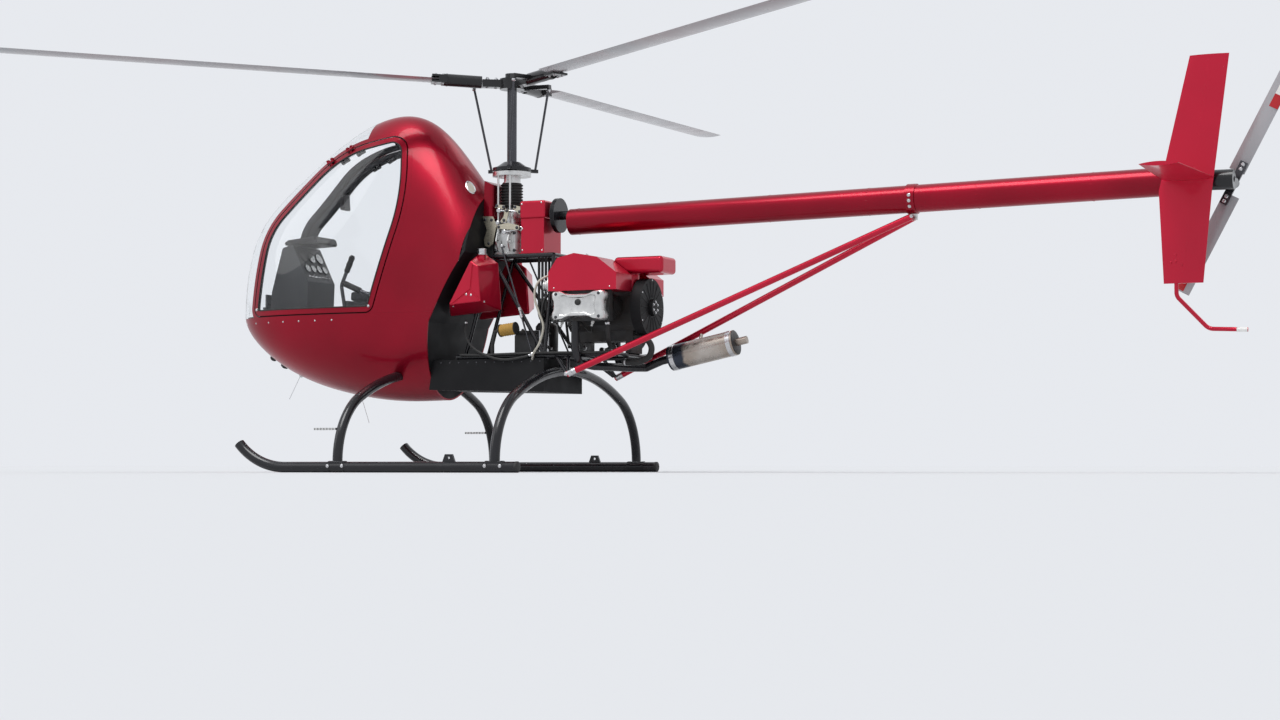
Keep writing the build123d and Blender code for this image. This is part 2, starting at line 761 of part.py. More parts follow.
def muffler():
    a, b = Vector(*MUFFLER_FRONT), Vector(*MUFFLER_REAR)
    axis = (b - a).normalized()
    body = rod(a, b, MUFFLER_R)
    tip = rod(b - axis, b + axis * TAILPIPE, TAILPIPE_R)
    share = (HANGER_X - a.X) / (b.X - a.X)
    foot = a + (b - a) * share
    hanger = rod(foot, brace_point(-1, HANGER_X), HANGER_R) - brace_bar(-1, BRACE_R + SEAT_GAP)
    return body + tip + hanger


HEADER_AT = (-545, 278)
HEADER_JOINT = (-760, -215, 600)
HEADER_R = 24


def exhaust_pipe():
    """Headers from both banks of the engine, joined ahead of the silencer."""
    a, b = Vector(*MUFFLER_FRONT), Vector(*MUFFLER_REAR)
    axis = (b - a).normalized()
    end = a - axis * SEAT_GAP
    x, y = HEADER_AT
    top = CRANK_Z - HEAD_HALF_HEIGHT - SEAT_GAP
    near = [(x, -y, top), (x, -y, 690), (x - 30, 10 - y, 612), HEADER_JOINT, end - axis * 60, end]
    cross = [(x, y, top), (x, y, 690), (x - 15, y - 16, 612), (x - 55, y - 128, 598),
             (-700, -110, 597), HEADER_JOINT]
    pipe = bent_bar([tuple(p) for p in near], [40, 40, 60, 60], HEADER_R)
    return pipe + bent_bar(cross, [40, 40, 40, 60], HEADER_R - 1)


GEARBOX_HALF = 85


def main_gearbox():
    """The cast case on the frame deck with the mast bearing on top."""
    deck = FRAME_POINTS["front_high"][2] + CROSS_BAR_R + SEAT_GAP
    case = block(-GEARBOX_HALF, GEARBOX_HALF, -GEARBOX_HALF, GEARBOX_HALF, deck, deck + 150)
    case = chamfer(case.edges().filter_by(Axis.Z), 20)
    neck = Pos(0, 0, deck + 149) * Cone(80, 52, 120, align=(Align.CENTER, Align.CENTER, Align.MIN))
    sleeve = Pos(0, 0, deck + 268) * Cylinder(52, SWASH_Z - 75 - SEAT_GAP - deck - 268,
                                             align=(Align.CENTER, Align.CENTER, Align.MIN))
    body = case + neck + sleeve
    return body - Pos(0, 0, MAST_BASE_Z - 2) * Cylinder(
        MAST_R + RUNNING_FIT, 2000, align=(Align.CENTER, Align.CENTER, Align.MIN))


BELT_FRONT_X = -110
BELT_REAR_X = -272
BELT_HALF_WIDTH = 118
BELT_TOP_Z = 1560
BELT_EDGE_R = 14
BELT_CAP_HEIGHT = 105
BELT_CAP_LIP = 8
FLANGE_THICK = 8
FLANGE_LIP = 6
BELT_SLOTS = 3
SLOT_PITCH = 40
SLOT_WIDTH = 16
SLOT_DEPTH = 10
PULLEY_Z = 1478
PULLEY_R = 100
PULLEY_THICK = 26
PULLEY_GROOVES = 3
PULLEY_GROOVE_PITCH = 7
PULLEY_GROOVE_DEPTH = 5
PULLEY_HUB_R = 26
PULLEY_STANDOFF = 22
PLUG_LENGTH = 60


def belt_housing():
    """The drive casing behind the mast, with a wider cap that has slots on top."""
    deck = FRAME_POINTS["mid_high"][2] + CROSS_BAR_R + SEAT_GAP
    low_half = BELT_HALF_WIDTH - BELT_CAP_LIP
    cap_z = BELT_TOP_Z - BELT_CAP_HEIGHT
    cap = block(BELT_REAR_X, BELT_FRONT_X, -BELT_HALF_WIDTH, BELT_HALF_WIDTH, cap_z, BELT_TOP_Z)
    case = fillet(cap.edges(), BELT_EDGE_R)
    case += block(BELT_REAR_X + BELT_CAP_LIP, BELT_FRONT_X - BELT_CAP_LIP, -low_half, low_half,
                  deck, cap_z + BELT_EDGE_R + 1)
    lip = BELT_HALF_WIDTH + FLANGE_LIP
    case += block(BELT_REAR_X, BELT_FRONT_X, -lip, lip, deck, deck + FLANGE_THICK)
    middle = (BELT_REAR_X + BELT_FRONT_X) / 2
    for i in range(BELT_SLOTS):
        x = middle + (i - (BELT_SLOTS - 1) / 2) * SLOT_PITCH
        case -= block(x - SLOT_WIDTH / 2, x + SLOT_WIDTH / 2, -BELT_HALF_WIDTH / 2,
                      BELT_HALF_WIDTH / 2, BELT_TOP_Z - SLOT_DEPTH, BELT_TOP_Z + 1)
    return case


def drive_pulley():
    """The grooved drive wheel behind the casing, with the plug that carries the boom's front."""
    front = BELT_REAR_X - SEAT_GAP
    face = front - PULLEY_STANDOFF
    wheel = rod((face, 0, PULLEY_Z), (face - PULLEY_THICK, 0, PULLEY_Z), PULLEY_R)
    for i in range(PULLEY_GROOVES):
        x = face - PULLEY_THICK / 2 + (i - (PULLEY_GROOVES - 1) / 2) * PULLEY_GROOVE_PITCH
        ring = rod((x - 1.5, 0, PULLEY_Z), (x + 1.5, 0, PULLEY_Z), PULLEY_R + 1)
        ring -= rod((x - 1.6, 0, PULLEY_Z), (x + 1.6, 0, PULLEY_Z),
                    PULLEY_R - PULLEY_GROOVE_DEPTH)
        wheel -= ring
    root = Vector(*BOOM_FRONT)
    along = (Vector(*BOOM_REAR) - root).normalized()
    plug = rod(root, root + along * PLUG_LENGTH, BOOM_R - BOOM_WALL - SEAT_GAP)
    hub = rod((front, 0, PULLEY_Z), (root.X - PULLEY_THICK, 0, PULLEY_Z), PULLEY_HUB_R)
    return wheel + hub + plug


FAIRING_REAR_X = 70
FAIRING_LOW_Z = 1470
FAIRING_HIGH_Z = 1690
FAIRING_HALF_WIDTH = 105
FAIRING_EDGE_R = 26


def upper_rear_x(z):
    """The cabin's rear edge at a height, above the tanks."""
    (x0, z0), (x1, z1) = CABIN_REAR[2:]
    return x0 + (x1 - x0) * (z - z0) / (z1 - z0)


def mast_fairing():
    """A small cowl behind the firewall that shields the mast bearing."""
    outline = side_face([(upper_rear_x(FAIRING_LOW_Z) - SEAT_GAP, FAIRING_LOW_Z),
                         (upper_rear_x(FAIRING_HIGH_Z) - SEAT_GAP, FAIRING_HIGH_Z),
                         (FAIRING_REAR_X, FAIRING_HIGH_Z - FAIRING_EDGE_R),
                         (FAIRING_REAR_X, FAIRING_LOW_Z)])
    cowl = side_prism(outline, -FAIRING_HALF_WIDTH, FAIRING_HALF_WIDTH)
    return fillet(cowl.edges().filter_by(Axis.Z).group_by(Axis.X)[0], FAIRING_EDGE_R)


# Push rods beside the gearbox: place along the aircraft, side
CONTROL_RODS = [(38, 1), (-38, 1), (0, -1)]
CONTROL_ROD_R = 6
CONTROL_REACH = 97
CRANK_PLATE = 6
CRANK_HOLE_R = 11
CRANK_LOW_Z = 1275
CRANK_HIGH_Z = 1392
CRANK_OUT_Y = 128


def control_cranks():
    """Bell-crank plates on the gearbox sides, each with a push rod up to the lower ring."""
    wall = GEARBOX_HALF + SEAT_GAP
    middle_z = (CRANK_LOW_Z + CRANK_HIGH_Z) / 2
    top = SWASH_Z - 30 - 12 - SEAT_GAP
    cranks = []
    for x, side in CONTROL_RODS:
        outline = Polygon((wall, CRANK_LOW_Z), (CRANK_OUT_Y - 30, CRANK_LOW_Z),
                          (CRANK_OUT_Y, middle_z), (CRANK_OUT_Y - 22, CRANK_HIGH_Z),
                          (wall, CRANK_HIGH_Z), align=None)
        outline -= Pos(wall + 20, middle_z) * Circle(CRANK_HOLE_R)
        plane = Plane(origin=(x - CRANK_PLATE / 2, 0, 0), x_dir=(0, 1, 0), z_dir=(1, 0, 0))
        crank = extrude(plane * outline, CRANK_PLATE)
        crank += rod((x, CONTROL_REACH, CRANK_HIGH_Z - 8), (x, CONTROL_REACH, top), CONTROL_ROD_R)
        crank += rod((x, CONTROL_REACH, CRANK_HIGH_Z - 12), (x, CONTROL_REACH, CRANK_HIGH_Z + 26),
                     1.7 * CONTROL_ROD_R)
        cranks.append(crank if side > 0 else mirrored(crank))
    return together(cranks)


def swashplate_lower():
    """The ring that tilts but doesn't turn, on its sleeve round the mast bearing."""
    ring = Pos(0, 0, SWASH_Z - 30) * Cylinder(SWASH_R, 24)
    ring -= Pos(0, 0, SWASH_Z - 30) * Cylinder(MAST_R + 3, 60)
    stub = Pos(0, 0, SWASH_Z - 58.5) * Cylinder(46, 33)
    stub -= Pos(0, 0, SWASH_Z - 60) * Cylinder(MAST_R + 3, 80)
    return ring + stub


def swashplate_upper():
    """The turning ring, clamped to the mast."""
    base = Pos(0, 0, SWASH_Z - 12) * Cylinder(SWASH_R, 20,
                                              align=(Align.CENTER, Align.CENTER, Align.MIN))
    dome = Pos(0, 0, SWASH_Z + 8) * Cone(SWASH_R - 12, 50, 34,
                                         align=(Align.CENTER, Align.CENTER, Align.MIN))
    ring = base + dome
    for i in range(BLADES):
        ring += horn_turn(i) * block(60, HORN_REACH + 14, -11, 11, SWASH_Z - 12, SWASH_Z + 8)
    return ring - Cylinder(MAST_R + SEAT_GAP, 2 * SWASH_Z + 400)


HORN_REACH = 150
HORN_LAG_DEG = -42


def horn_turn(i):
    return Rot(0, 0, ROTOR_REST_DEG + i * 360 / BLADES + HORN_LAG_DEG)


def mast():
    length = HUB_HEIGHT + 40 - MAST_BASE_Z
    return Pos(0, 0, MAST_BASE_Z) * Cylinder(MAST_R, length,
                                             align=(Align.CENTER, Align.CENTER, Align.MIN))


def blade_turn(i):
    return Rot(0, 0, ROTOR_REST_DEG + i * 360 / BLADES)


def rotor_hub():
    """A central block with three arms and the mast nut."""
    hub = Pos(0, 0, HUB_HEIGHT) * Cylinder(72, 62)
    for i in range(BLADES):
        hub += blade_turn(i) * block(40, 175, -30, 30, HUB_HEIGHT - 22, HUB_HEIGHT + 22)
    hub += Pos(0, 0, HUB_HEIGHT + 45) * Cylinder(40, 30)
    return hub - Pos(0, 0, HUB_HEIGHT - 100) * Cylinder(
        MAST_R + SEAT_GAP, 140 + SEAT_GAP, align=(Align.CENTER, Align.CENTER, Align.MIN))


def coned(i):
    """The frame of one blade: x out along the blade, tilted up by the precone."""
    return blade_turn(i) * Pos(0, 0, HUB_HEIGHT) * Rot(0, -PRECONE_DEG, 0)


HORN_UNDER = -12


def blade_grips():
    """Round grips that hold the blade roots, each with a pitch horn."""
    slot = BLADE_THICK / 2 + SEAT_GAP
    grips = []
    for i in range(BLADES):
        grip = rod((178, 0, 0), (400, 0, 0), 36)
        grip += block(380, 470, -50, 50, -slot - 12, slot + 12)
        grip += block(190, 230, -150, -20, HORN_UNDER, 12)
        grip -= block(BLADE_ROOT_R - SEAT_GAP, 480, -60, 60, -slot, slot)
        grips.append(coned(i) * grip)
    return together(grips)


def airfoil_face(chord, thick, ahead):
    """A thin symmetrical section of arcs: chord along x, with a share of it ahead of zero."""
    nose, tail = chord * ahead, -chord * (1 - ahead)
    crest = nose - chord * CREST_SHARE
    top = ThreePointArc((nose, 0), (crest, thick / 2), (tail, TRAILING_EDGE / 2))
    back = Line((tail, TRAILING_EDGE / 2), (tail, -TRAILING_EDGE / 2))
    under = ThreePointArc((tail, -TRAILING_EDGE / 2), (crest, -thick / 2), (nose, 0))
    return make_face([top, back, under])


def main_blade(i):
    """A straight untwisted blade with its precone angle."""
    section = airfoil_face(BLADE_CHORD, BLADE_THICK, 0.3)
    plane = Plane(origin=(BLADE_ROOT_R, 0, 0), x_dir=(0, 1, 0), z_dir=(1, 0, 0))
    return coned(i) * extrude(plane * section, ROTOR_RADIUS - BLADE_ROOT_R)


def pitch_links():
    """Rods from the turning ring up to the pitch horns."""
    links = []
    for i in range(BLADES):
        top = coned(i) * Pos(210, -140, HORN_UNDER - 2)
        foot = horn_turn(i) * Pos(HORN_REACH, 0, SWASH_Z + 10)
        links.append(rod(foot.position, top.position, 7))
    return together(links)


def tail_boom():
    outer = rod(BOOM_FRONT, BOOM_REAR, BOOM_R)
    a, b = Vector(*BOOM_FRONT), Vector(*BOOM_REAR)
    axis = (b - a).normalized()
    return outer - rod(a - axis, b + axis, BOOM_R - BOOM_WALL)


def boom_z(x):
    """The height of the boom's centre line at a place along it."""
    share = (x - BOOM_FRONT[0]) / (BOOM_REAR[0] - BOOM_FRONT[0])
    return BOOM_FRONT[2] + share * (BOOM_REAR[2] - BOOM_FRONT[2])


def brace_clamp():
    """A split band round the boom with a lug for the two braces."""
    z = boom_z(BRACE_TOP_X)
    band = rod((BRACE_TOP_X - 25, 0, z), (BRACE_TOP_X + 25, 0, z), BOOM_R + 6)
    band -= rod((BRACE_TOP_X - 40, 0, boom_z(BRACE_TOP_X - 40)),
                (BRACE_TOP_X + 40, 0, boom_z(BRACE_TOP_X + 40)), BOOM_R + SEAT_GAP)
    lug = block(BRACE_TOP_X - 25, BRACE_TOP_X + 25, -6, 6, z - BOOM_R - 40, z - BOOM_R - 4)
    return band + lug


CLAMP_LUG = 6
BRACE_TOP_DROP = 22


def brace_ends(side):
    """The upper and lower end of one brace."""
    z = boom_z(BRACE_TOP_X) - BOOM_R - BRACE_TOP_DROP
    top = Vector(BRACE_TOP_X, side * (CLAMP_LUG + SEAT_GAP + BRACE_R), z)
    return top, Vector(BRACE_FOOT[0], side * BRACE_FOOT[1], BRACE_FOOT[2])


def brace_bar(side, radius, beyond=0):
    """A bar along the line of one brace, carried on past its foot by a length."""
    top, foot = brace_ends(side)
    return rod(top, foot + (foot - top).normalized() * beyond, radius)


def brace_point(side, x):
    """The place on a brace's centre line at a distance along the aircraft."""
    top, foot = brace_ends(side)
    return top + (foot - top) * ((x - top.X) / (foot.X - top.X))


FIN_THICK = 24
FIN_Y = BOOM_R + FIN_THICK / 2 + SEAT_GAP
# Fin sections: z, leading edge x, chord
FIN_SECTIONS = [(965, -3786, 200), (1440, -3765, 270), (2128, -3930, 198)]
STAB_ROOT = (-3783, 265)
STAB_TIP = (-3801, 190)
STAB_SPAN_Y = 750


def fin():
    """The swept fin on the port side of the boom."""
    parts = []
    for (z0, lead0, chord0), (z1, lead1, chord1) in zip(FIN_SECTIONS, FIN_SECTIONS[1:]):
        faces = []
        for z, lead, chord in ((z0, lead0, chord0), (z1, lead1, chord1)):
            face = airfoil_face(chord, FIN_THICK, 0)
            plane = Plane(origin=(lead, FIN_Y, z), x_dir=(1, 0, 0), z_dir=(0, 0, 1))
            faces.append(plane * face)
        parts.append(loft(faces, ruled=True))
    return parts[0] + parts[1]


def stabiliser():
    y0 = FIN_Y + FIN_THICK / 2 + SEAT_GAP
    faces = []
    for y, (lead, chord) in ((y0, STAB_ROOT), (STAB_SPAN_Y, STAB_TIP)):
        face = airfoil_face(chord, 22, 0)
        plane = Plane(origin=(lead, y, boom_z(lead)), x_dir=(1, 0, 0), z_dir=(0, 1, 0))
        faces.append(plane * face)
    return loft(faces, ruled=True)


def tail_gearbox():
    x, y, z = TAIL_HUB
    end = Vector(*BOOM_REAR)
    axis = (end - Vector(*BOOM_FRONT)).normalized()
    case = rod((BOOM_REAR[0] - 5, 0, z), (x - 30, 0, z), 52)
    case += rod(end + axis * SEAT_GAP, end + axis * 12, BOOM_R)
    case += rod((x, 0, z), (x, y + 60, z), 34)
    return case - rod((x, y - 50, z), (x, -40, z), TAIL_SHAFT_R + RUNNING_FIT)


def tail_hub():
    x, y, z = TAIL_HUB
    hub = rod((x, y + 30, z), (x, -42, z), TAIL_SHAFT_R)
    hub += rod((x, y - 22, z), (x, y + 32, z), 26)
    arm = block(-120, 120, -9, 9, -20, 20)
    return hub + Pos(x, y, z) * Rot(0, TAIL_REST_DEG, 0) * arm


def tail_blades():
    x, y, z = TAIL_HUB
    blades = []
    for flip in (0, 180):
        section = airfoil_face(TAIL_CHORD, 12, 0.3)
        plane = Plane(origin=(60, -9 - 6 - SEAT_GAP, 0), x_dir=(0, 0, 1), z_dir=(1, 0, 0))
        blade = extrude(plane * section, TAIL_ROTOR_RADIUS - 60)
        blades.append(Pos(x, y, z) * Rot(0, TAIL_REST_DEG + flip, 0) * blade)
    return together(blades)


def tail_guard():
    """The bent tube under the fin that keeps the tail rotor off the ground."""
    z = FIN_SECTIONS[0][0]
    points = [(-3850, FIN_Y, z - SEAT_GAP), (-3850, FIN_Y, 900), (-4010, FIN_Y, 730),
              (-4205, FIN_Y, 722)]
    return bent_bar(points, [50, 60], 11)


NODES = {
    "hull": hull,
    "windshield": windshield,
    "canopy_frame": canopy_frame,
    "roof_shell": roof_shell,
    "floor_panel": floor_panel,
    "firewall": firewall,
    "instrument_panel": instrument_panel,
    "seat_frame": seat_frame,
    "seat_cushion": seat_cushion,
    "back_cushion": back_cushion,
    "control_stick": control_stick,
    "collective_lever": collective_lever,
    "pedals": pedals,
    "port_door": port_door,
    "port_door_glass": port_door_glass,
    "starboard_door": lambda: mirrored(port_door()),
    "starboard_door_glass": lambda: mirrored(port_door_glass()),
    "fuel_tank_port": fuel_tank_port,
    "fuel_tank_starboard": lambda: mirrored(fuel_tank_port()),
    "lower_frame": lower_frame,
    "belly_pan": belly_pan,
    "front_cross_tube": lambda: leg(FRONT_LEG_X),
    "rear_cross_tube": lambda: leg(REAR_LEG_X),
    "port_skid": lambda: skid(1),
    "starboard_skid": lambda: skid(-1),
    "foot_pegs": foot_pegs,
    "engine_block": engine_block,
    "cylinders": cylinders,
    "valve_covers": valve_covers,
    "engine_cowls": engine_cowls,
    "airbox": airbox,
    "fan_housing": fan_housing,
    "exhaust_pipe": exhaust_pipe,
    "muffler": muffler,
    "main_gearbox": main_gearbox,
    "belt_housing": belt_housing,
    "drive_pulley": drive_pulley,
    "mast_fairing": mast_fairing,
    "control_cranks": control_cranks,
    "swashplate_lower": swashplate_lower,
    "swashplate_upper": swashplate_upper,
    "mast": mast,
    "rotor_hub": rotor_hub,
    "blade_grips": blade_grips,
    "main_blade_1": lambda: main_blade(0),
    "main_blade_2": lambda: main_blade(1),
    "main_blade_3": lambda: main_blade(2),
    "pitch_links": pitch_links,
    "tail_boom": tail_boom,
    "brace_clamp": brace_clamp,
    "boom_brace_port": lambda: brace_bar(1, BRACE_R),
    "boom_brace_starboard": lambda: brace_bar(-1, BRACE_R),
    "fin": fin,
    "stabiliser": stabiliser,
    "tail_gearbox": tail_gearbox,
    "tail_hub": tail_hub,
    "tail_blades": tail_blades,
    "tail_guard": tail_guard,
}


def main():
    os.makedirs("parts", exist_ok=True)
    home = (-ORIGIN_X, -ORIGIN_Y, 0)
    for name, make in NODES.items():
        export_step(make().translate(home, transform=True), f"parts/{name}.step")


main()
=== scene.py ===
import json
import math
import random

import bmesh
import bpy
from bpy.props import FloatProperty, FloatVectorProperty, IntProperty, PointerProperty
from bpy.types import Operator, Panel, PropertyGroup
from mathutils import Matrix, Vector
from mathutils.bvhtree import BVHTree


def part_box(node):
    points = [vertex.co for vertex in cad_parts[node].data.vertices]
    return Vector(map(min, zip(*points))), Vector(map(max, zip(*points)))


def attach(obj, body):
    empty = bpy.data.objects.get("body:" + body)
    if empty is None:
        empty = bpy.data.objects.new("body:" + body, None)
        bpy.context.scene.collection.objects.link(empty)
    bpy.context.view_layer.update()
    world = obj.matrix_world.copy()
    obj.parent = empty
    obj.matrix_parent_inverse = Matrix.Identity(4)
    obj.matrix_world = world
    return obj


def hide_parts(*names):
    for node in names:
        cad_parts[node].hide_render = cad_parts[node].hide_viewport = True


bl_info = {
    "name": "Light helicopter finish",
    "version": (1, 0, 0),
    "blender": (4, 5, 0),
    "location": "3D View > Sidebar > Helicopter",
    "description": "Adds finishes, fasteners, wiring, cushions and a studio to a helicopter",
    "category": "Object",
}

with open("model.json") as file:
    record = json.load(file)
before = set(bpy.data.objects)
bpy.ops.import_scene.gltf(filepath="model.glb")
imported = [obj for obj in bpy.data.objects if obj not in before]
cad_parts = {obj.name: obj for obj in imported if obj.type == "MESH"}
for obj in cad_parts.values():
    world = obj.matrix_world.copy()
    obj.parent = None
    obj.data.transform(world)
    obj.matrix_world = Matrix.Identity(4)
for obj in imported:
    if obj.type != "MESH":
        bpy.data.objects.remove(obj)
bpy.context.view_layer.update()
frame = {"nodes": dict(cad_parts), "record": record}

MM = 0.001
AIRFRAME = "airframe"
MAIN_ROTOR = "main_rotor"
TAIL_ROTOR = "tail_rotor"
DOORS = {1: "port_door_panel", -1: "starboard_door_panel"}
# Port and starboard
SIDES = (1, -1)
SIDE_NAMES = {1: "port", -1: "starboard"}
MAST_LOW, MAST_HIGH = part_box("mast")
MAST_AXIS = (MAST_LOW + MAST_HIGH) / 2
UP = Vector((0, 0, 1))
AFT = Vector((-1, 0, 0))
PORT = Vector((0, 1, 0))


def at(x, y, z):
    """A place given in millimetres from the rotor axis, forward, to port and up from the ground."""
    return Vector((MAST_AXIS.x + x * MM, MAST_AXIS.y + y * MM, z * MM))


def sided(side, x, y, z):
    """A place given for the port side, there or mirrored to starboard."""
    return at(x, side * y, z)


# Settings

def colour(label, text, value):
    return FloatVectorProperty(name=label, description=text, default=value, size=3,
                               subtype="COLOR", min=0, max=1)


def length(label, text, value):
    return FloatProperty(name=label, description=text, default=value, min=0, unit="LENGTH",
                         precision=4)


class HelicopterColours(PropertyGroup):
    red: colour("Paint", "Colour of the clear-coated paint", (0.26, 0.0009, 0.014))
    red_deep: colour("Paint shade", "Darker tone in the depth of the paint", (0.15, 0.0005, 0.008))
    # A lighter copy of the body's red: painted light for the sunlit flat faces of the tanks, cowls
    # and tail surfaces
    crimson: colour("Bright paint", "Solid paint of tanks, cowls and tail surfaces",
                    (0.55, 0.0050, 0.034))
    black: colour("Tube paint", "Satin paint of skids, legs and frame", (0.008, 0.008, 0.010))
    blade: colour("Blade skin", "Painted skin of the main blades", (0.27, 0.275, 0.29))
    cloth: colour("Seat cover", "Woven cover of the cushions", (0.030, 0.031, 0.036))
    panel: colour("Pedestal", "Grained skin of the instrument pedestal", (0.050, 0.052, 0.056))
    floor: colour("Studio floor", "Colour of the floor", (0.688, 0.698, 0.717))
    sky: colour("Backdrop", "Colour seen behind the aircraft", (0.80, 0.82, 0.86))


class HelicopterSizes(PropertyGroup):
    rivet: length("Rivet head", "Radius of a domed rivet head", 0.0032)
    screw: length("Sill screw", "Radius of a screw head under the sill", 0.0052)
    bolt: length("Bolt head", "Radius of a hexagon bolt head", 0.0072)
    rivet_pitch: length("Rivet spacing", "Distance between neighbouring rivets", 0.042)
    seal: length("Window seal", "Radius of the rubber bead round a door window", 0.0042)
    hose: length("Hose", "Radius of the coolant and oil hoses", 0.011)
    lead: length("Plug lead", "Radius of an ignition lead", 0.0036)
    antenna: length("Antenna", "Length of a belly antenna", 0.17)
    cushion_swell: length("Cushion crown", "How far the padding may swell", 0.012)
    dial: length("Dial", "Radius of a large dial", 0.034)
    key_power: FloatProperty(name="Key lamp", description="Strength of the main soft lamp",
                             default=2.2, min=0)
    fill_power: FloatProperty(name="Fill lamp", description="Strength of the other soft lamps",
                              default=0.35, min=0)
    flutes: IntProperty(name="Cushion channels", description="Sewn channels in each cushion",
                        default=5, min=1)


def sizes():
    return bpy.context.scene.helicopter_sizes


def colours():
    return bpy.context.scene.helicopter_colours


# Materials

class Finish:
    """One procedural material, built up from noises on the object's own coordinates."""

    def __init__(self, name):
        self.material = bpy.data.materials.new(name)
        self.material.use_nodes = True
        self.tree = self.material.node_tree
        self.shader = self.tree.nodes["Principled BSDF"]
        self.place = self.add("ShaderNodeTexCoord").outputs["Object"]

    def add(self, kind, settings=None, **inputs):
        node = self.tree.nodes.new(kind)
        for key, value in (settings or {}).items():
            setattr(node, key, value)
        for key, value in inputs.items():
            self.feed(node.inputs[key.replace("_", " ")], value)
        return node

    def feed(self, socket, value):
        if isinstance(value, bpy.types.NodeSocket):
            self.tree.links.new(value, socket)
        else:
            socket.default_value = value

    def set(self, **inputs):
        for key, value in inputs.items():
            self.feed(self.shader.inputs[key.replace("_", " ")], value)
        return self

    def stretched(self, scale):
        node = self.add("ShaderNodeMapping", Vector=self.place)
        node.inputs["Scale"].default_value = scale
        return node.outputs["Vector"]

    def noise(self, scale, detail=3.0, stretch=None):
        place = self.stretched(stretch) if stretch else self.place
        node = self.add("ShaderNodeTexNoise", Vector=place, Scale=scale, Detail=detail)
        return node.outputs["Fac"]

    def cells(self, scale, feature="F1", stretch=None):
        place = self.stretched(stretch) if stretch else self.place
        node = self.add("ShaderNodeTexVoronoi", {"feature": feature}, Vector=place, Scale=scale)
        return node.outputs["Distance"]

    def waves(self, scale, direction, distortion=0.0):
        node = self.add("ShaderNodeTexWave", {"bands_direction": direction}, Vector=self.place,
                        Scale=scale, Distortion=distortion)
        return node.outputs["Fac"]

    def spread(self, value, low, high, start=0.35, end=0.65):
        node = self.add("ShaderNodeMapRange", Value=value)
        for key, number in (("From Min", start), ("From Max", end), ("To Min", low),
                            ("To Max", high)):
            node.inputs[key].default_value = number
        return node.outputs["Result"]

    def mix(self, share, first, second):
        node = self.add("ShaderNodeMix", {"data_type": "RGBA"})
        self.feed(node.inputs[0], share)
        for socket, value in ((node.inputs[6], first), (node.inputs[7], second)):
            self.feed(socket, value if isinstance(value, bpy.types.NodeSocket) else (*value, 1.0))
        return node.outputs[2]

    def combine(self, operation, first, second):
        node = self.add("ShaderNodeMath", {"operation": operation})
        self.feed(node.inputs[0], first)
        self.feed(node.inputs[1], second)
        return node.outputs[0]

    def times(self, first, second):
        return self.combine("MULTIPLY", first, second)

    def bump(self, height, distance, strength=1.0, under=None):
        node = self.add("ShaderNodeBump", Height=height, Distance=distance, Strength=strength)
        if under is not None:
            self.feed(node.inputs["Normal"], under)
        return node.outputs["Normal"]

    def scuffs(self, scale=34.0, start=0.66, end=0.78):
        """Rises to 1 in a few small worn patches."""
        return self.times(self.spread(self.noise(scale, 7.0), 0.0, 1.0, start, end),
                          self.spread(self.noise(3.0, 2.0), 0.0, 1.0, 0.45, 0.6))


def shade(rgb, factor):
    return tuple(min(1.0, c * factor) for c in rgb)


def own_or_set(base):
    """A colour given as numbers, or by the name of a setting."""
    return tuple(getattr(colours(), base)) if isinstance(base, str) else base


def candy_paint(f):
    """Clear-coated paint with fine flakes over a darker tone."""
    c = colours()
    flake = f.spread(f.cells(2600.0), 0.0, 1.0, 0.1, 0.5)
    base = f.mix(f.spread(f.noise(1.6, 2.0), 0.0, 1.0), c.red_deep, c.red)
    base = f.mix(f.times(flake, 0.35), base, shade(c.red, 1.7))
    peel = f.bump(f.noise(240.0, 1.0), 0.0004, 0.05)
    f.set(Base_Color=base, Metallic=0.72, Roughness=f.spread(flake, 0.26, 0.38, 0.0, 1.0),
          Normal=f.bump(flake, 0.0002, 0.04, peel), Specular_IOR_Level=0.2, Coat_Weight=0.35,
          Coat_Roughness=0.10, Coat_IOR=1.42)


def sunlit_paint(f):
    """Body paint made lighter on the tanks, cowls, housings and tail surfaces: painted light,
    standing in for the sun on their flat faces.
    """
    c = colours()
    tone = f.mix(f.spread(f.noise(2.0, 2.0), 0.0, 1.0), shade(c.crimson, 0.88), c.crimson)
    peel = f.bump(f.noise(240.0, 1.0), 0.0004, 0.05)
    f.set(Base_Color=tone, Metallic=0.5, Roughness=0.30, Normal=peel, Specular_IOR_Level=0.3,
          Coat_Weight=0.4, Coat_Roughness=0.05, Coat_IOR=1.42)


def glazing(f):
    smears = f.spread(f.noise(14.0, 5.0), 0.0, 0.012, 0.5, 0.8)
    f.set(Base_Color=(0.975, 0.985, 0.99, 1.0), Roughness=smears, IOR=1.3,
          Transmission_Weight=1.0)


def satin(f, base, rough, scuff):
    """Satin paint with a few scuffed patches."""
    base = own_or_set(base)
    tone = f.mix(f.spread(f.noise(5.0, 4.0), 0.0, 1.0), base, shade(base, 1.5))
    tone = f.mix(f.times(f.scuffs(), scuff), tone, (0.13, 0.125, 0.12))
    f.set(Base_Color=tone, Roughness=f.spread(f.noise(12.0, 4.0), rough - 0.06, rough + 0.08),
          Normal=f.bump(f.noise(310.0, 2.0), 0.0003, 0.05), Specular_IOR_Level=0.3,
          Coat_Weight=0.35, Coat_Roughness=0.07, Coat_IOR=1.42)


def casting(f, base, rough, grain, metallic, stain, stained):
    """Sand-cast alloy with a pebbled skin and oily stains."""
    blotch = f.spread(f.noise(11.0, 5.0), 0.0, stained)
    tone = f.mix(f.spread(f.noise(30.0, 3.0), 0.0, 1.0), shade(base, 0.90), base)
    tone = f.mix(blotch, tone, stain)
    f.set(Base_Color=tone, Metallic=metallic,
          Roughness=f.spread(f.noise(26.0, 4.0), rough - 0.08, rough + 0.12),
          Normal=f.bump(f.noise(grain, 3.0), 0.0005, 0.10))


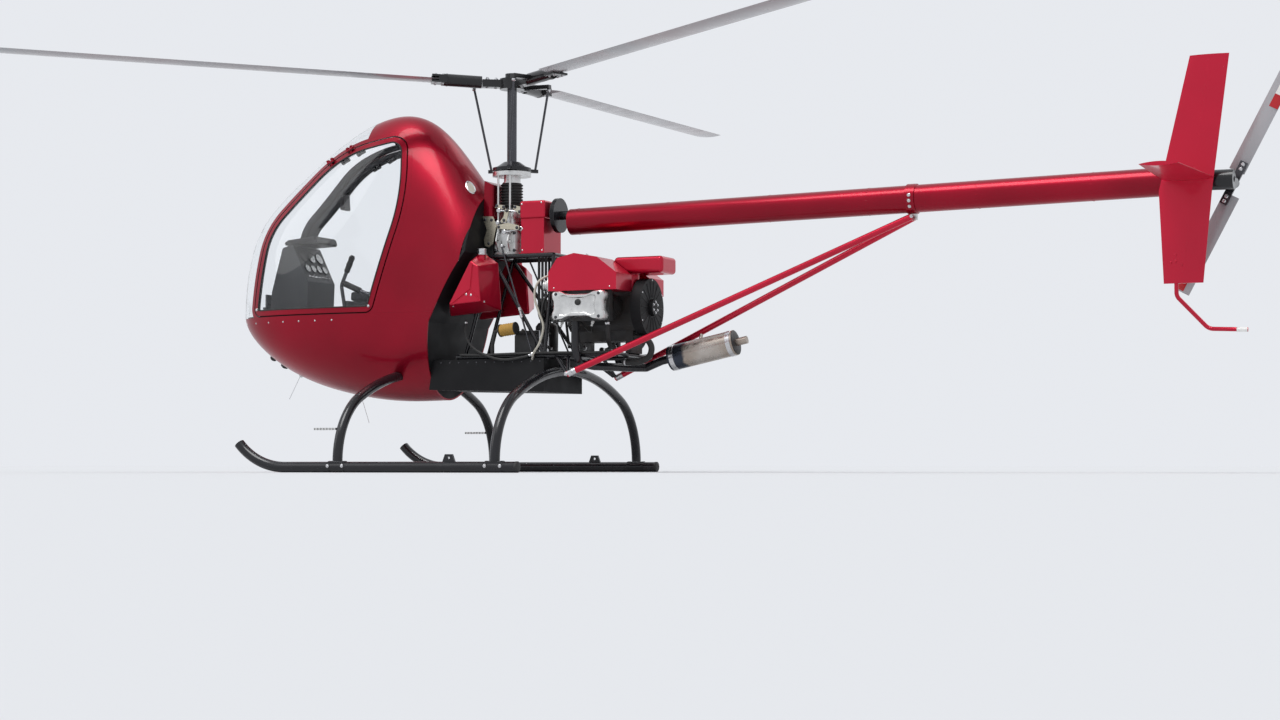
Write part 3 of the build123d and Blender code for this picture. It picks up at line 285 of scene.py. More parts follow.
def brushed(f, base, rough, tint=None):
    """Turned or brushed steel with a fine lay and a thin oil film."""
    lay = f.noise(40.0, 6.0, (1.0, 1.0, 30.0))
    tone = f.mix(f.spread(lay, 0.0, 1.0), shade(base, 0.75), base)
    if tint:
        tone = f.mix(f.spread(f.noise(7.0, 4.0), 0.0, 0.7), tone, tint)
    f.set(Base_Color=tone, Metallic=1.0, Roughness=f.spread(lay, rough - 0.06, rough + 0.10),
          Normal=f.bump(lay, 0.0003, 0.10))


def flat_sheet(f):
    """Flat black on the sheets of the pan and firewall and on the fan."""
    tone = f.mix(f.spread(f.noise(3.0, 3.0), 0.0, 1.0), (0.007, 0.007, 0.008),
                 (0.012, 0.012, 0.013))
    f.set(Base_Color=tone, Roughness=f.spread(f.noise(8.0, 3.0), 0.50, 0.62),
          Specular_IOR_Level=0.18)


# How far behind the muffler's front end the heat's dark blue stops, and over what length
HEAT_REACH = 0.115
HEAT_FADE = 0.020


def heated_steel(f):
    """Stainless steel that heat has coloured dark blue at the front and straw-brown behind."""
    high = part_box("muffler")[1]
    along = f.add("ShaderNodeSeparateXYZ", Vector=f.place).outputs["X"]
    uneven = f.combine("ADD", along, f.spread(f.noise(9.0, 4.0), -0.02, 0.02))
    hot = f.spread(uneven, 0.0, 1.0, high.x - HEAT_REACH - HEAT_FADE, high.x - HEAT_REACH)
    straw = f.mix(f.spread(f.noise(5.0, 5.0), 0.0, 1.0), (0.34, 0.28, 0.23), (0.50, 0.46, 0.42))
    tone = f.mix(hot, straw, (0.045, 0.052, 0.070))
    f.set(Base_Color=tone, Metallic=0.9, Roughness=f.spread(f.noise(30.0, 4.0), 0.24, 0.38),
          Normal=f.bump(f.noise(180.0, 3.0), 0.0004, 0.1))


def blade_skin(f, base, tint):
    """Painted composite with faint lengthways streaks and insect stains."""
    base = own_or_set(base)
    streaks = f.noise(9.0, 6.0, (1.0, 1.0, 0.2))
    tone = f.mix(f.spread(streaks, 0.0, 1.0), shade(base, 0.86), base)
    tone = f.mix(f.spread(f.noise(2.2, 2.0), 0.0, 0.35), tone, tint)
    specks = f.spread(f.cells(120.0), 1.0, 0.0, 0.02, 0.10)
    tone = f.mix(f.times(specks, f.spread(f.noise(8.0), 0.0, 0.5)), tone, (0.07, 0.06, 0.05))
    f.set(Base_Color=tone, Roughness=f.spread(streaks, 0.24, 0.38), Metallic=0.1,
          Normal=f.bump(f.noise(160.0, 2.0), 0.0003, 0.08), Coat_Weight=0.5, Coat_Roughness=0.12)


def grained(f, base, scale, rough):
    """Moulded plastic or rubber with a leather grain."""
    base = own_or_set(base)
    grain = f.cells(scale, "DISTANCE_TO_EDGE")
    tone = f.mix(f.spread(f.noise(6.0, 4.0), 0.0, 1.0), shade(base, 0.8), shade(base, 1.15))
    f.set(Base_Color=tone, Roughness=f.spread(f.noise(30.0, 3.0), rough - 0.06, rough + 0.08),
          Normal=f.bump(f.spread(grain, 0.0, 1.0, 0.0, 0.25), 0.0003, 0.05))


def lining(f):
    """Smooth grey trim that wears to a slight sheen."""
    tone = f.mix(f.spread(f.noise(3.0, 2.0), 0.0, 1.0), (0.060, 0.062, 0.066),
                 (0.085, 0.088, 0.093))
    f.set(Base_Color=tone, Roughness=f.spread(f.noise(5.0, 2.0), 0.42, 0.54))


def woven(f):
    """Cloth of crossing threads."""
    weave = f.times(f.waves(420.0, "X", 0.4), f.waves(420.0, "Z", 0.4))
    cross = f.times(f.waves(420.0, "Y", 0.4), 0.8)
    thread = f.combine("MAXIMUM", weave, cross)
    base = own_or_set("cloth")
    tone = f.mix(f.spread(f.noise(30.0, 5.0), 0.0, 1.0), shade(base, 0.7), shade(base, 1.5))
    tone = f.mix(f.times(thread, 0.4), tone, shade(base, 2.4))
    f.set(Base_Color=tone, Roughness=0.86, Normal=f.bump(thread, 0.0006, 0.5), Sheen_Weight=0.35,
          Sheen_Roughness=0.45)


def ribbed_web(f):
    ribs = f.waves(300.0, "Z", 0.2)
    tone = f.mix(ribs, (0.020, 0.021, 0.026), (0.050, 0.052, 0.060))
    f.set(Base_Color=tone, Roughness=0.7, Normal=f.bump(ribs, 0.0005, 0.5), Sheen_Weight=0.25)


# Each finish with its recipe and the recipe's values
RECIPES = {
    "candy_red_paint": (candy_paint,),
    "crimson_paint": (sunlit_paint,),
    "clear_glazing": (glazing,),
    "black_tube_paint": (satin, "black", 0.22, 0.25),
    "grip_black": (satin, (0.010, 0.010, 0.011), 0.20, 0.15),
    "white_paint": (satin, (0.62, 0.62, 0.60), 0.34, 0.2),
    "red_tip_paint": (satin, (0.36, 0.012, 0.016), 0.30, 0.2),
    "bare_aluminium": (casting, (0.66, 0.66, 0.65), 0.32, 260.0, 1.0, (0.22, 0.20, 0.18), 0.05),
    "engine_casting": (casting, (0.035, 0.035, 0.037), 0.46, 360.0, 0.4, (0.03, 0.022, 0.016),
                       0.6),
    "dark_steel": (brushed, (0.10, 0.10, 0.11), 0.24, (0.07, 0.07, 0.075)),
    "bright_steel": (brushed, (0.66, 0.66, 0.67), 0.22),
    "plated_steel": (brushed, (0.62, 0.57, 0.45), 0.30),
    "muffler_steel": (heated_steel,),
    "matt_black": (flat_sheet,),
    "blade_grey": (blade_skin, "blade", (0.34, 0.20, 0.20)),
    "tail_blade_paint": (blade_skin, (0.42, 0.42, 0.44), (0.34, 0.33, 0.33)),
    "panel_grey": (grained, "panel", 420.0, 0.55),
    "seat_shell_black": (grained, (0.018, 0.018, 0.019), 300.0, 0.48),
    "rubber": (grained, (0.013, 0.013, 0.013), 900.0, 0.62),
    "pale_hose": (grained, (0.50, 0.47, 0.40), 700.0, 0.42),
    "filter_felt": (grained, (0.46, 0.27, 0.055), 800.0, 0.66),
    "dial_face": (grained, (0.010, 0.010, 0.011), 1200.0, 0.40),
    "cabin_lining": (lining,),
    "seat_cloth": (woven,),
    "webbing": (ribbed_web,),
}

made_finishes = {}


def finish(name):
    """The material of that name, made when it is first asked for."""
    if name not in made_finishes:
        imported = bpy.data.materials.get(name)
        if imported:
            bpy.data.materials.remove(imported)
        recipe, *values = RECIPES[name]
        made = Finish(name)
        recipe(made, *values)
        made_finishes[name] = made.material
    return made_finishes[name]


# Mesh building

def around(first, second, count, start=0.0):
    """Evenly spread directions, turning from the first axis towards the second."""
    turns = [2 * math.pi * (i + start) / count for i in range(count)]
    return [first * math.cos(a) + second * math.sin(a) for a in turns]


def banded(width, radius, lift, edge=0.001):
    """The profile of a band that stands proud of a round surface."""
    return [(0, radius), (edge, radius + lift), (width - edge, radius + lift), (width, radius)]


class Shape:
    """Gathers the small solids of one piece in one mesh."""

    def __init__(self):
        self.mesh = bmesh.new()

    def rings(self, rings, closed=False):
        """A skin over rings of equal count, capped at its ends or closed on itself."""
        made = [[self.mesh.verts.new(p) for p in ring] for ring in rings]
        count = len(made[0])
        for low, high in zip(made, made[1:] + (made[:1] if closed else [])):
            for i in range(count):
                j = (i + 1) % count
                self.mesh.faces.new((low[i], low[j], high[j], high[i]))
        if not closed:
            self.mesh.faces.new(made[0][::-1])
            self.mesh.faces.new(made[-1])

    def turned(self, place, axis, profile, sides=16):
        """A turned solid: profile gives distances along the axis and radii."""
        axis = Vector(axis).normalized()
        side = axis.orthogonal().normalized()
        spokes = around(side, axis.cross(side), sides)
        self.rings([[Vector(place) + axis * along + spoke * radius for spoke in spokes]
                    for along, radius in profile])

    def rivet(self, place, axis, radius, sides=8):
        h = radius * 0.55
        self.turned(place, axis, [(-h, radius), (h * 0.35, radius), (h * 0.85, radius * 0.68),
                                  (h * 1.1, radius * 0.2)], sides)

    def bolt(self, place, axis, radius):
        """A washer with a hexagon head."""
        h = radius * 0.75
        self.turned(place, axis, [(-h, radius * 1.35), (h * 0.2, radius * 1.35),
                                  (h * 0.3, radius * 1.25)], 14)
        self.turned(place, axis, [(h * 0.2, radius), (h * 1.15, radius), (h * 1.35, radius * 0.8)],
                    6)

    def tube(self, points, radius, sides=10, closed=False):
        """A round bar that follows the points, and back to the first one if closed."""
        points = [Vector(p) for p in points]
        last = len(points) - 1
        rings = []
        side = None
        for i, point in enumerate(points):
            before = points[i - 1] if i or closed else point
            after = points[(i + 1) % len(points)] if i < last or closed else point
            ahead = (after - before).normalized()
            side = side or ahead.orthogonal()
            side = (side - ahead * side.dot(ahead)).normalized()
            rings.append([point + spoke * radius
                          for spoke in around(side, ahead.cross(side), sides)])
        self.rings(rings, closed)

    def slab(self, corners, normal, thick):
        """A plate over a flat outline."""
        lift = Vector(normal).normalized() * thick
        low = [Vector(c) for c in corners]
        self.rings([low, [c + lift for c in low]])

    def block(self, corner, opposite):
        """A box between two corners."""
        low, high = (Vector(map(pick, corner, opposite)) for pick in (min, max))
        base = [(low.x, low.y), (high.x, low.y), (high.x, high.y), (low.x, high.y)]
        self.rings([[Vector((x, y, z)) for x, y in base] for z in (low.z, high.z)])

    def piece(self, name, finish_name, body=AIRFRAME, slot=None, bevel=0.0, smooth=True):
        bmesh.ops.recalc_face_normals(self.mesh, faces=self.mesh.faces)
        if bevel:
            sharp = [e for e in self.mesh.edges if len(e.link_faces) == 2
                     and e.calc_face_angle(0) > math.radians(40)]
            bmesh.ops.bevel(self.mesh, geom=sharp, offset=bevel, segments=2, affect="EDGES",
                            clamp_overlap=True)
        obj = linked(name, self.mesh, finish_name)
        if smooth:
            obj.data.shade_smooth()
            obj.data.set_sharp_from_angle(angle=math.radians(38))
        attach(obj, body)
        return obj


def linked(name, mesh, finish_name=None):
    """An object in the scene with the gathered mesh, which is used up."""
    data = bpy.data.meshes.new(name)
    mesh.to_mesh(data)
    mesh.free()
    obj = bpy.data.objects.new(name, data)
    bpy.context.scene.collection.objects.link(obj)
    if finish_name:
        data.materials.append(finish(finish_name))
    return obj


def merged(node):
    """The mesh of a CAD node, with the points of neighbouring faces joined."""
    mesh = bmesh.new()
    mesh.from_mesh(frame["nodes"][node].data)
    bmesh.ops.remove_doubles(mesh, verts=mesh.verts, dist=1e-5)
    return mesh


def flowing(points, steps=6):
    """Points along a smooth line through the given places."""
    line = []
    padded = [points[0] * 2 - points[1], *points, points[-1] * 2 - points[-2]]
    for p0, p1, p2, p3 in zip(padded, padded[1:], padded[2:], padded[3:]):
        for step in range(steps):
            t = step / steps
            line.append(0.5 * ((2 * p1) + (p2 - p0) * t + (2 * p0 - 5 * p1 + 4 * p2 - p3) * t**2
                               + (3 * p1 - p0 - 3 * p2 + p3) * t**3))
    return line + [points[-1]]


# Further to the side, in millimetres, than any skin that a fastener sits on
OUTSIDE = 900


class Skin:
    """The outside of some CAD nodes, on which fasteners are set."""

    def __init__(self, *nodes):
        points, faces = [], []
        for node in nodes:
            data = frame["nodes"][node].data
            base = len(points)
            points += [v.co.copy() for v in data.vertices]
            faces += [[base + i for i in face.vertices] for face in data.polygons]
        self.tree = BVHTree.FromPolygons(points, faces)

    def strike(self, start, direction):
        """Where a line first meets the skin, with the outward normal, or None."""
        direction = Vector(direction).normalized()
        place, normal, _, _ = self.tree.ray_cast(start, direction)
        if place is None:
            return None
        return place, -normal if normal.dot(direction) > 0 else normal

    def beside(self, side, x, z):
        """Where the skin is, seen from one side, at a place given as x and z."""
        return self.strike(at(x, side * OUTSIDE, z), -PORT * side)

    def fasten(self, make, start, direction, *sizing):
        """Set a rivet or a bolt where a line meets the skin, if it does."""
        hit = self.strike(start, direction)
        if hit:
            make(*hit, *sizing)

    def fasten_sides(self, make, places, *sizing):
        """Fasteners on both sides, at places given as (x, z)."""
        for side in SIDES:
            for x, z in places:
                self.fasten(make, at(x, side * OUTSIDE, z), -PORT * side, *sizing)


def rim_loops(node, sharp_deg=50):
    """The closed sharp edge lines of a node, longest first, each as ordered points."""
    mesh = merged(node)
    sharp = {e for e in mesh.edges
             if len(e.link_faces) == 2 and e.calc_face_angle(0) > math.radians(sharp_deg)}
    loops = []
    while sharp:
        edge = sharp.pop()
        first, vert = edge.verts
        line = [first.co.copy(), vert.co.copy()]
        while vert != first:
            following = next((e for e in vert.link_edges if e in sharp), None)
            if following is None:
                break
            sharp.discard(following)
            vert = following.other_vert(vert)
            line.append(vert.co.copy())
        if vert == first:
            loops.append(line[:-1])
    mesh.free()

    def round_trip(line):
        return sum((a - b).length for a, b in zip(line, line[1:] + line[:1]))

    return sorted(loops, key=round_trip, reverse=True)


def thinned(line, pitch):
    """The same closed line with its points at least a pitch apart."""
    kept = [line[0]]
    for point in line[1:]:
        if (point - kept[-1]).length >= pitch:
            kept.append(point)
    if (kept[-1] - kept[0]).length < pitch / 2:
        kept.pop()
    return kept


# Operators

# Nodes whose finish differs from the usual one of their slot
OWN_FINISH = {
    "floor_panel": "cabin_lining", "rotor_hub": "grip_black", "firewall": "matt_black",
    "belly_pan": "matt_black", "fan_housing": "matt_black",
    # These nodes share the body's red paint and get a lighter copy of it, painted light for their
    # sunlit flat faces
    **dict.fromkeys(("fin", "stabiliser", "tail_guard", "fuel_tank_port", "fuel_tank_starboard",
                     "engine_cowls", "airbox", "belt_housing", "boom_brace_port",
                     "boom_brace_starboard"), "crimson_paint"),
}


class HELI_OT_paint(Operator):
    """Give every CAD node its finish from the record's slots"""

    bl_idname = "heli.paint"
    bl_label = "Paint the nodes"

    def execute(self, context):
        for part in frame["record"]["subparts"]:
            node = frame["nodes"][part["node"]]
            node.data.materials.clear()
            name = OWN_FINISH.get(part["node"], part["material_slot"])
            node.data.materials.append(finish(name))
            node.data.shade_smooth()
            node.data.set_sharp_from_angle(angle=math.radians(32))
        return {"FINISHED"}


CAMERA_AT = (-6130, 11870, 40)
CAMERA_YAW_DEG = -65.89
CAMERA_PITCH_DEG = 2.62
CAMERA_LENS = 64.7


class HELI_OT_camera(Operator):
    """Set the camera at floor level, behind the port beam"""

    bl_idname = "heli.camera"
    bl_label = "Camera"

    def execute(self, context):
        data = bpy.data.cameras.new("camera")
        data.lens = CAMERA_LENS
        data.clip_end = 200
        camera = bpy.data.objects.new("camera", data)
        context.scene.collection.objects.link(camera)
        camera.location = at(*CAMERA_AT)
        yaw, pitch = math.radians(CAMERA_YAW_DEG), math.radians(CAMERA_PITCH_DEG)
        look = Vector((math.cos(pitch) * math.cos(yaw), math.cos(pitch) * math.sin(yaw),
                       math.sin(pitch)))
        camera.rotation_mode = "QUATERNION"
        camera.rotation_quaternion = look.to_track_quat("-Z", "Y")
        context.scene.camera = camera
        return {"FINISHED"}


FLOOR_HALF = 60.0
# Lamps: where the light comes from, its angular width in degrees, which strength
LAMPS = [
    ((0.6, 2.9, 6.6), 34.0, "key_power"),
    ((6.0, 4.0, 4.5), 35.0, "fill_power"),
    ((-3.0, -6.0, 5.0), 35.0, "fill_power"),
]


class HELI_OT_stage(Operator):
    """Make the pale floor, the backdrop and the soft lamps"""

    bl_idname = "heli.stage"
    bl_label = "Studio"

    def execute(self, context):
        self.floor()
        self.world(context.scene)
        for number, (place, width_deg, power) in enumerate(LAMPS):
            data = bpy.data.lights.new(f"lamp_{number}", "SUN")
            data.angle = math.radians(width_deg)
            data.energy = getattr(sizes(), power)
            lamp = bpy.data.objects.new(f"lamp_{number}", data)
            lamp.location = place
            lamp.rotation_mode = "QUATERNION"
            lamp.rotation_quaternion = (-lamp.location).to_track_quat("-Z", "Y")
            context.scene.collection.objects.link(lamp)
        context.scene.view_settings.view_transform = "Standard"
        return {"FINISHED"}

    def floor(self):
        mesh = bmesh.new()
        bmesh.ops.create_grid(mesh, x_segments=8, y_segments=8, size=FLOOR_HALF)
        floor = linked("studio_floor", mesh)
        f = Finish("studio_floor")
        f.set(Base_Color=(*colours().floor, 1.0), Roughness=1.0, Specular_IOR_Level=0.0)
        floor.data.materials.append(f.material)

    def world(self, scene):
        world = bpy.data.worlds.new("studio")
        world.use_nodes = True
        scene.world = world
        nodes, links = world.node_tree.nodes, world.node_tree.links
        output = nodes["World Output"]
        lit = nodes["Background"]
        lit.inputs["Color"].default_value = (0.92, 0.95, 1.0, 1.0)
        lit.inputs["Strength"].default_value = 0.42
        seen = nodes.new("ShaderNodeBackground")
        seen.inputs["Color"].default_value = (*colours().sky, 1.0)
        path = nodes.new("ShaderNodeLightPath")
        direct = path.outputs["Is Camera Ray"]
        for kind in ("Is Transmission Ray", "Is Glossy Ray"):
            either = nodes.new("ShaderNodeMath")
            either.operation = "MAXIMUM"
            links.new(direct, either.inputs[0])
            links.new(path.outputs[kind], either.inputs[1])
            direct = either.outputs[0]
        choice = nodes.new("ShaderNodeMixShader")
        links.new(direct, choice.inputs[0])
        links.new(lit.outputs[0], choice.inputs[1])
        links.new(seen.outputs[0], choice.inputs[2])
        links.new(choice.outputs[0], output.inputs["Surface"])


# Sill screws on the hull, and the lumps and whip antennas under its nose
SILL_Z = 920
SCREW_DROP = 34
SCREW_XS = range(980, 1701, 118)
# Nose lamp pods: place as (x, y) and radius
LAMP_PODS = [(1600, 30, 22), (1600, -30, 22), (1540, 0, 26)]
# Antennas: place ahead, and how far the whip leans forward
ANTENNAS = [(1430, 0.55), (1010, -0.35)]


class HELI_OT_hull_details(Operator):
    """Sill screws, nose lumps and whip antennas on the hull"""

    bl_idname = "heli.hull_details"
    bl_label = "Hull details"

    def execute(self, context):
        hull = Skin("hull")
        screws, pods, whips = Shape(), Shape(), Shape()
        hull.fasten_sides(screws.rivet, [(x, SILL_Z - SCREW_DROP) for x in SCREW_XS],
                          sizes().screw, 10)
        for x, y, radius in LAMP_PODS:
            place, normal = hull.strike(at(x, y, 0), UP)
            r = radius * MM
            pods.turned(place, normal, [(-0.01, r), (0.012, r), (0.022, r * 0.85),
                                        (0.028, r * 0.4)], 20)
        for x, lean in ANTENNAS:
            place, _ = hull.strike(at(x, 0, 0), UP)
            run = Vector((lean, 0, -1)).normalized() * sizes().antenna
            whips.turned(place, -UP, [(-0.006, 0.014), (0.012, 0.013), (0.02, 0.006)], 14)
            whips.tube([place, place + run * 0.5, place + run], 0.0016, 8)
            whips.rivet(place + run, run, 0.003)
        screws.piece("sill_screws", "bright_steel")
        pods.piece("nose_lamp_pods", "rubber", slot="black_tube_paint")
        whips.piece("belly_antennas", "bright_steel")
        return {"FINISHED"}


# Where the latches are, near the window's lower corners
LATCH_PLACES = ((1660, 960), (700, 960))
LATCH_KNOB = [(-0.003, 0.009), (0.004, 0.009), (0.008, 0.007), (0.010, 0.003)]


class HELI_OT_doors(Operator):
    """Window seals, latches and rivets on the gull-wing doors"""

    bl_idname = "heli.doors"
    bl_label = "Door details"

    def execute(self, context):
        for side, body in DOORS.items():
            name = SIDE_NAMES[side]
            loops = rim_loops(f"{name}_door_glass")
            outline = max(loops[:2], key=lambda line: sum(abs(p.y - MAST_AXIS.y) for p in line)
                          / len(line))
            middle = sum(outline, Vector()) / len(outline)
            door = Skin(f"{name}_door")
            inward = -PORT * side
            seal, studs, knobs = Shape(), Shape(), Shape()
            seal.tube(thinned(outline, 0.006), sizes().seal, 8, closed=True)
            for point in thinned(outline, sizes().rivet_pitch * 1.6):
                start = self.past(middle, point, 0.016) - inward * 0.3
                door.fasten(studs.rivet, start, inward, sizes().rivet * 0.8)
            for x, z in LATCH_PLACES:
                corner = min(outline, key=lambda p: (p - at(x, 0, z)).xz.length)
                start = self.past(middle, corner, 0.014) - inward * 0.3
                door.fasten(knobs.turned, start, inward, LATCH_KNOB, 18)
            seal.piece(f"{name}_window_seal", "rubber", body)
            studs.piece(f"{name}_door_rivets", "candy_red_paint", body)
            knobs.piece(f"{name}_door_latches", "bright_steel", body)
        return {"FINISHED"}

    def past(self, middle, point, gap):
        """A place on the door's frame, a gap outside a point of its window's outline."""
        out = Vector((point.x - middle.x, 0, point.z - middle.z)).normalized()
        return point + out * gap


# Shells whose inner faces are lined, and the body that they ride on
LINED = {"canopy_frame": AIRFRAME, "roof_shell": AIRFRAME, "hull": AIRFRAME,
         "port_door": DOORS[1], "starboard_door": DOORS[-1]}
CABIN_MIDDLE = (1150, 0, 1250)
# Faces further aft of the cabin's middle than this, in metres, aren't lined
LINING_REACH = 0.85
SILL_XS = range(660, 1700, 26)


class HELI_OT_lining(Operator):
    """Dark lining on the inner faces of the cabin, and weather strips on the sills"""

    bl_idname = "heli.lining"
    bl_label = "Cabin lining"

    def execute(self, context):
        for node, body in LINED.items():
            self.line(node, body)
        hull = Skin("hull")
        for side in SIDES:
            hits = [hull.beside(side, x, SILL_Z - 8) for x in SILL_XS]
            rim = [Vector((hit[0].x, hit[0].y - side * 0.020, (SILL_Z + 1) * MM))
                   for hit in hits if hit]
            strip = Shape()
            strip.tube(rim, 0.009, 10)
            strip.piece(f"{SIDE_NAMES[side]}_sill_strip", "rubber")
        return {"FINISHED"}

    def line(self, node, body):
        """A thin skin over the faces of a shell that look into the cabin."""
        middle = at(*CABIN_MIDDLE)
        mesh = merged(node)
        bmesh.ops.recalc_face_normals(mesh, faces=mesh.faces)
        outer = []
        for face in mesh.faces:
            inward = middle - face.calc_center_median()
            if face.normal.dot(inward.normalized()) < 0.3 or inward.x > LINING_REACH:
                outer.append(face)
        bmesh.ops.delete(mesh, geom=outer, context="FACES")
        for vert in mesh.verts:
            vert.co += vert.normal * 0.0006
        skin = linked(f"{node}_lining", mesh, "cabin_lining")
        skin.data.shade_smooth()
        skin.data.set_sharp_from_angle(angle=math.radians(35))
        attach(skin, body)


VENT_PLACE = (200, 1650)
# The vent's rings: half width, half height and lift off the skin
VENT_RINGS = [(0.031, 0.049, -0.012), (0.031, 0.049, 0.003), (0.026, 0.043, 0.006),
              (0.022, 0.038, 0.001)]
VENT_PLATE = [(0.023, 0.039, -0.010), (0.023, 0.039, 0.002)]
SHELL_SEAM_X = 180


class HELI_OT_roof(Operator):
    """Oval side vents and rivet lines on the rear shell"""

    bl_idname = "heli.roof"
    bl_label = "Roof details"

    def execute(self, context):
        shell = Skin("roof_shell")
        studs = Shape()
        for side in SIDES:
            place, normal = shell.beside(side, *VENT_PLACE)
            across = UP.cross(normal).normalized()
            upward = normal.cross(across)
            for name, finish_name, ovals in (("roof_vent", "bright_steel", VENT_RINGS),
                                             ("vent_mesh", "pale_hose", VENT_PLATE)):
                vent = Shape()
                vent.rings([[place + normal * lift + spoke
                             for spoke in around(across * wide, upward * high, 28)]
                            for wide, high, lift in ovals])
                vent.piece(f"{SIDE_NAMES[side]}_{name}", finish_name)
            for z in range(1000, 1660, 44):
                hit = shell.beside(side, SHELL_SEAM_X, z)
                if hit and hit[1].y * side > 0.2:
                    studs.rivet(*hit, sizes().rivet)
        studs.piece("rear_shell_rivets", "candy_red_paint")
        return {"FINISHED"}


BOOM_SEAMS = (0.008, 0.16, 0.33, 0.5, 0.66, 0.83, 0.985)
CLAMP_BAND = (-2456, 0, 1473.9)
CLAMP_BOLT = (-2430, 40, 1376)
FIN_BOLTS = ((-3850, 1075), (-3850, 1110), (-3880, 1060), (-3825, 1072))
# The fin's middle plane, to port of the mast, in metres
FIN_SIDE = 0.087
TAIL_HUB = (-4100, -165, 1495)
TAIL_BLADE_END = (-3809, -165, 948)
# Bands on the tail blades: from and to in millimetres along the blade, finish
TAIL_BANDS = [(430, 500, "red_tip_paint"), (560, 612, "red_tip_paint"), (500, 560, "white_paint")]
GUARD_END = (-4205, 87.3, 722)


class HELI_OT_tail(Operator):
    """Rivets, bolts and bands on the boom, fin, stabiliser and tail rotor"""

    bl_idname = "heli.tail"
    bl_label = "Tail details"

    def execute(self, context):
        self.boom()
        self.clamp()
        self.surfaces()
        self.rotor()
        sleeve = Shape()
        end = at(*GUARD_END)
        sleeve.tube([end + Vector((0.055, 0, 0.001)), end + Vector((0.002, 0, 0))], 0.0122, 18)
        sleeve.piece("tail_guard_sleeve", "white_paint")
        return {"FINISHED"}

    def boom(self):
        """Rivets round the boom's seams and the painted band over its clamp."""
        boom = Skin("tail_boom")
        low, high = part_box("tail_boom")
        studs, band = Shape(), Shape()
        for share in BOOM_SEAMS:
            centre = Vector((low.x + (high.x - low.x) * share, MAST_AXIS.y, (low.z + high.z) / 2))
            for out in around(PORT, UP, 20):
                boom.fasten(studs.rivet, centre + out * 0.4, -out, sizes().rivet)
        band.turned(at(*CLAMP_BAND), -AFT, banded(0.052, 0.0805, 0.0011, 0.0005), 48)
        studs.piece("boom_rivets", "candy_red_paint")
        band.piece("clamp_band_paint", "candy_red_paint")

    def clamp(self):
        bolts = Shape()
        clamp = Skin("brace_clamp")
        low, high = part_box("brace_clamp")
        middle = (low + high) / 2
        for lift in (-0.03, 0.0, 0.03):
            for side in SIDES:
                clamp.fasten(bolts.bolt, middle + Vector((0, side * 0.4, lift)), -PORT * side,
                             sizes().bolt)
        x, y, z = CLAMP_BOLT
        for side in SIDES:
            bolts.bolt(at(x, y * side, z), PORT * side, sizes().bolt)
        bolts.piece("brace_clamp_bolts", "bright_steel")

    def surfaces(self):
        """Rivet rows near the edges of the fin and stabiliser, and the fin's bolts."""
        studs, bolts = Shape(), Shape()
        radius = sizes().rivet * 0.8
        fin = Skin("fin")
        low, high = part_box("fin")
        middle_y = MAST_AXIS.y + FIN_SIDE
        for back in (0.018, 0.10):
            for z in self.steps(low.z + 0.04, high.z - 0.03):
                edge = fin.strike(Vector((low.x - 0.5, middle_y, z)), -AFT)
                if edge:
                    for side in SIDES:
                        start = Vector((edge[0].x + back, middle_y + side * 0.2, z))
                        fin.fasten(studs.rivet, start, -PORT * side, radius)
        for x, z in FIN_BOLTS:
            fin.fasten(bolts.bolt, at(x, 400, z), -PORT, sizes().bolt * 0.7)
        tail = Skin("stabiliser")
        low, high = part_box("stabiliser")
        for share in (0.2, 0.8):
            x = low.x + (high.x - low.x) * share
            for y in self.steps(low.y + 0.03, high.y - 0.02):
                for face in (1, -1):
                    start = Vector((x, y, (low.z + high.z) / 2 + face * 0.2))
                    tail.fasten(studs.rivet, start, -UP * face, radius)
        # The rivets and bolts of the tail surfaces take the same lighter copy of the body paint,
        # painted light
        studs.piece("tail_surface_rivets", "crimson_paint")
        bolts.piece("fin_bolts", "crimson_paint")

    def steps(self, first, limit):
        """Places one rivet spacing apart, up to a limit."""
        pitch = sizes().rivet_pitch
        return [first + pitch * i for i in range(math.ceil((limit - first) / pitch))]

    def rotor(self):
        """Painted bands on the tail blades and the bolts of their hub."""
        hub = at(*TAIL_HUB)
        along = (at(*TAIL_BLADE_END) - hub).normalized()
        wide = along.cross(PORT).normalized() * 24 * MM
        for number, (near, far, name) in enumerate(TAIL_BANDS):
            band = Shape()
            for way in (1, -1):
                for face in (1, -1):
                    lift = PORT * (-15.3 + face * 6.2) * MM
                    base, tip = (hub + along * way * reach * MM + lift for reach in (near, far))
                    band.slab([base - wide, base + wide, tip + wide, tip - wide], PORT * face,
                              0.0005)
            band.piece(f"tail_blade_band_{number}", name, TAIL_ROTOR)
        bolts = Shape()
        for way in (1, -1):
            for far in (78, 104):
                place = hub + along * way * far * MM + PORT * 9 * MM
                bolts.bolt(place, PORT, sizes().bolt)
                bolts.bolt(place - PORT * 30.5 * MM, -PORT, sizes().bolt)
        bolts.bolt(hub - PORT * 22 * MM, -PORT, 0.012)
        bolts.piece("tail_hub_bolts", "bright_steel", TAIL_ROTOR, "dark_steel")


SEAM_HALF = 0.016
SEAM_DEPTH = 0.005
SHOULDER_STRAP = [(452, 50.4, 1586), (505, 72, 1572), (598, 72, 1300), (650, 64.8, 1100),
                  (700, 21.6, 1068)]
LAP_STRAP = [(600, 206, 1000), (640, 205, 1064), (690, 110, 1074), (705, 12, 1076)]
BUCKLE = (704, 0, 1068)


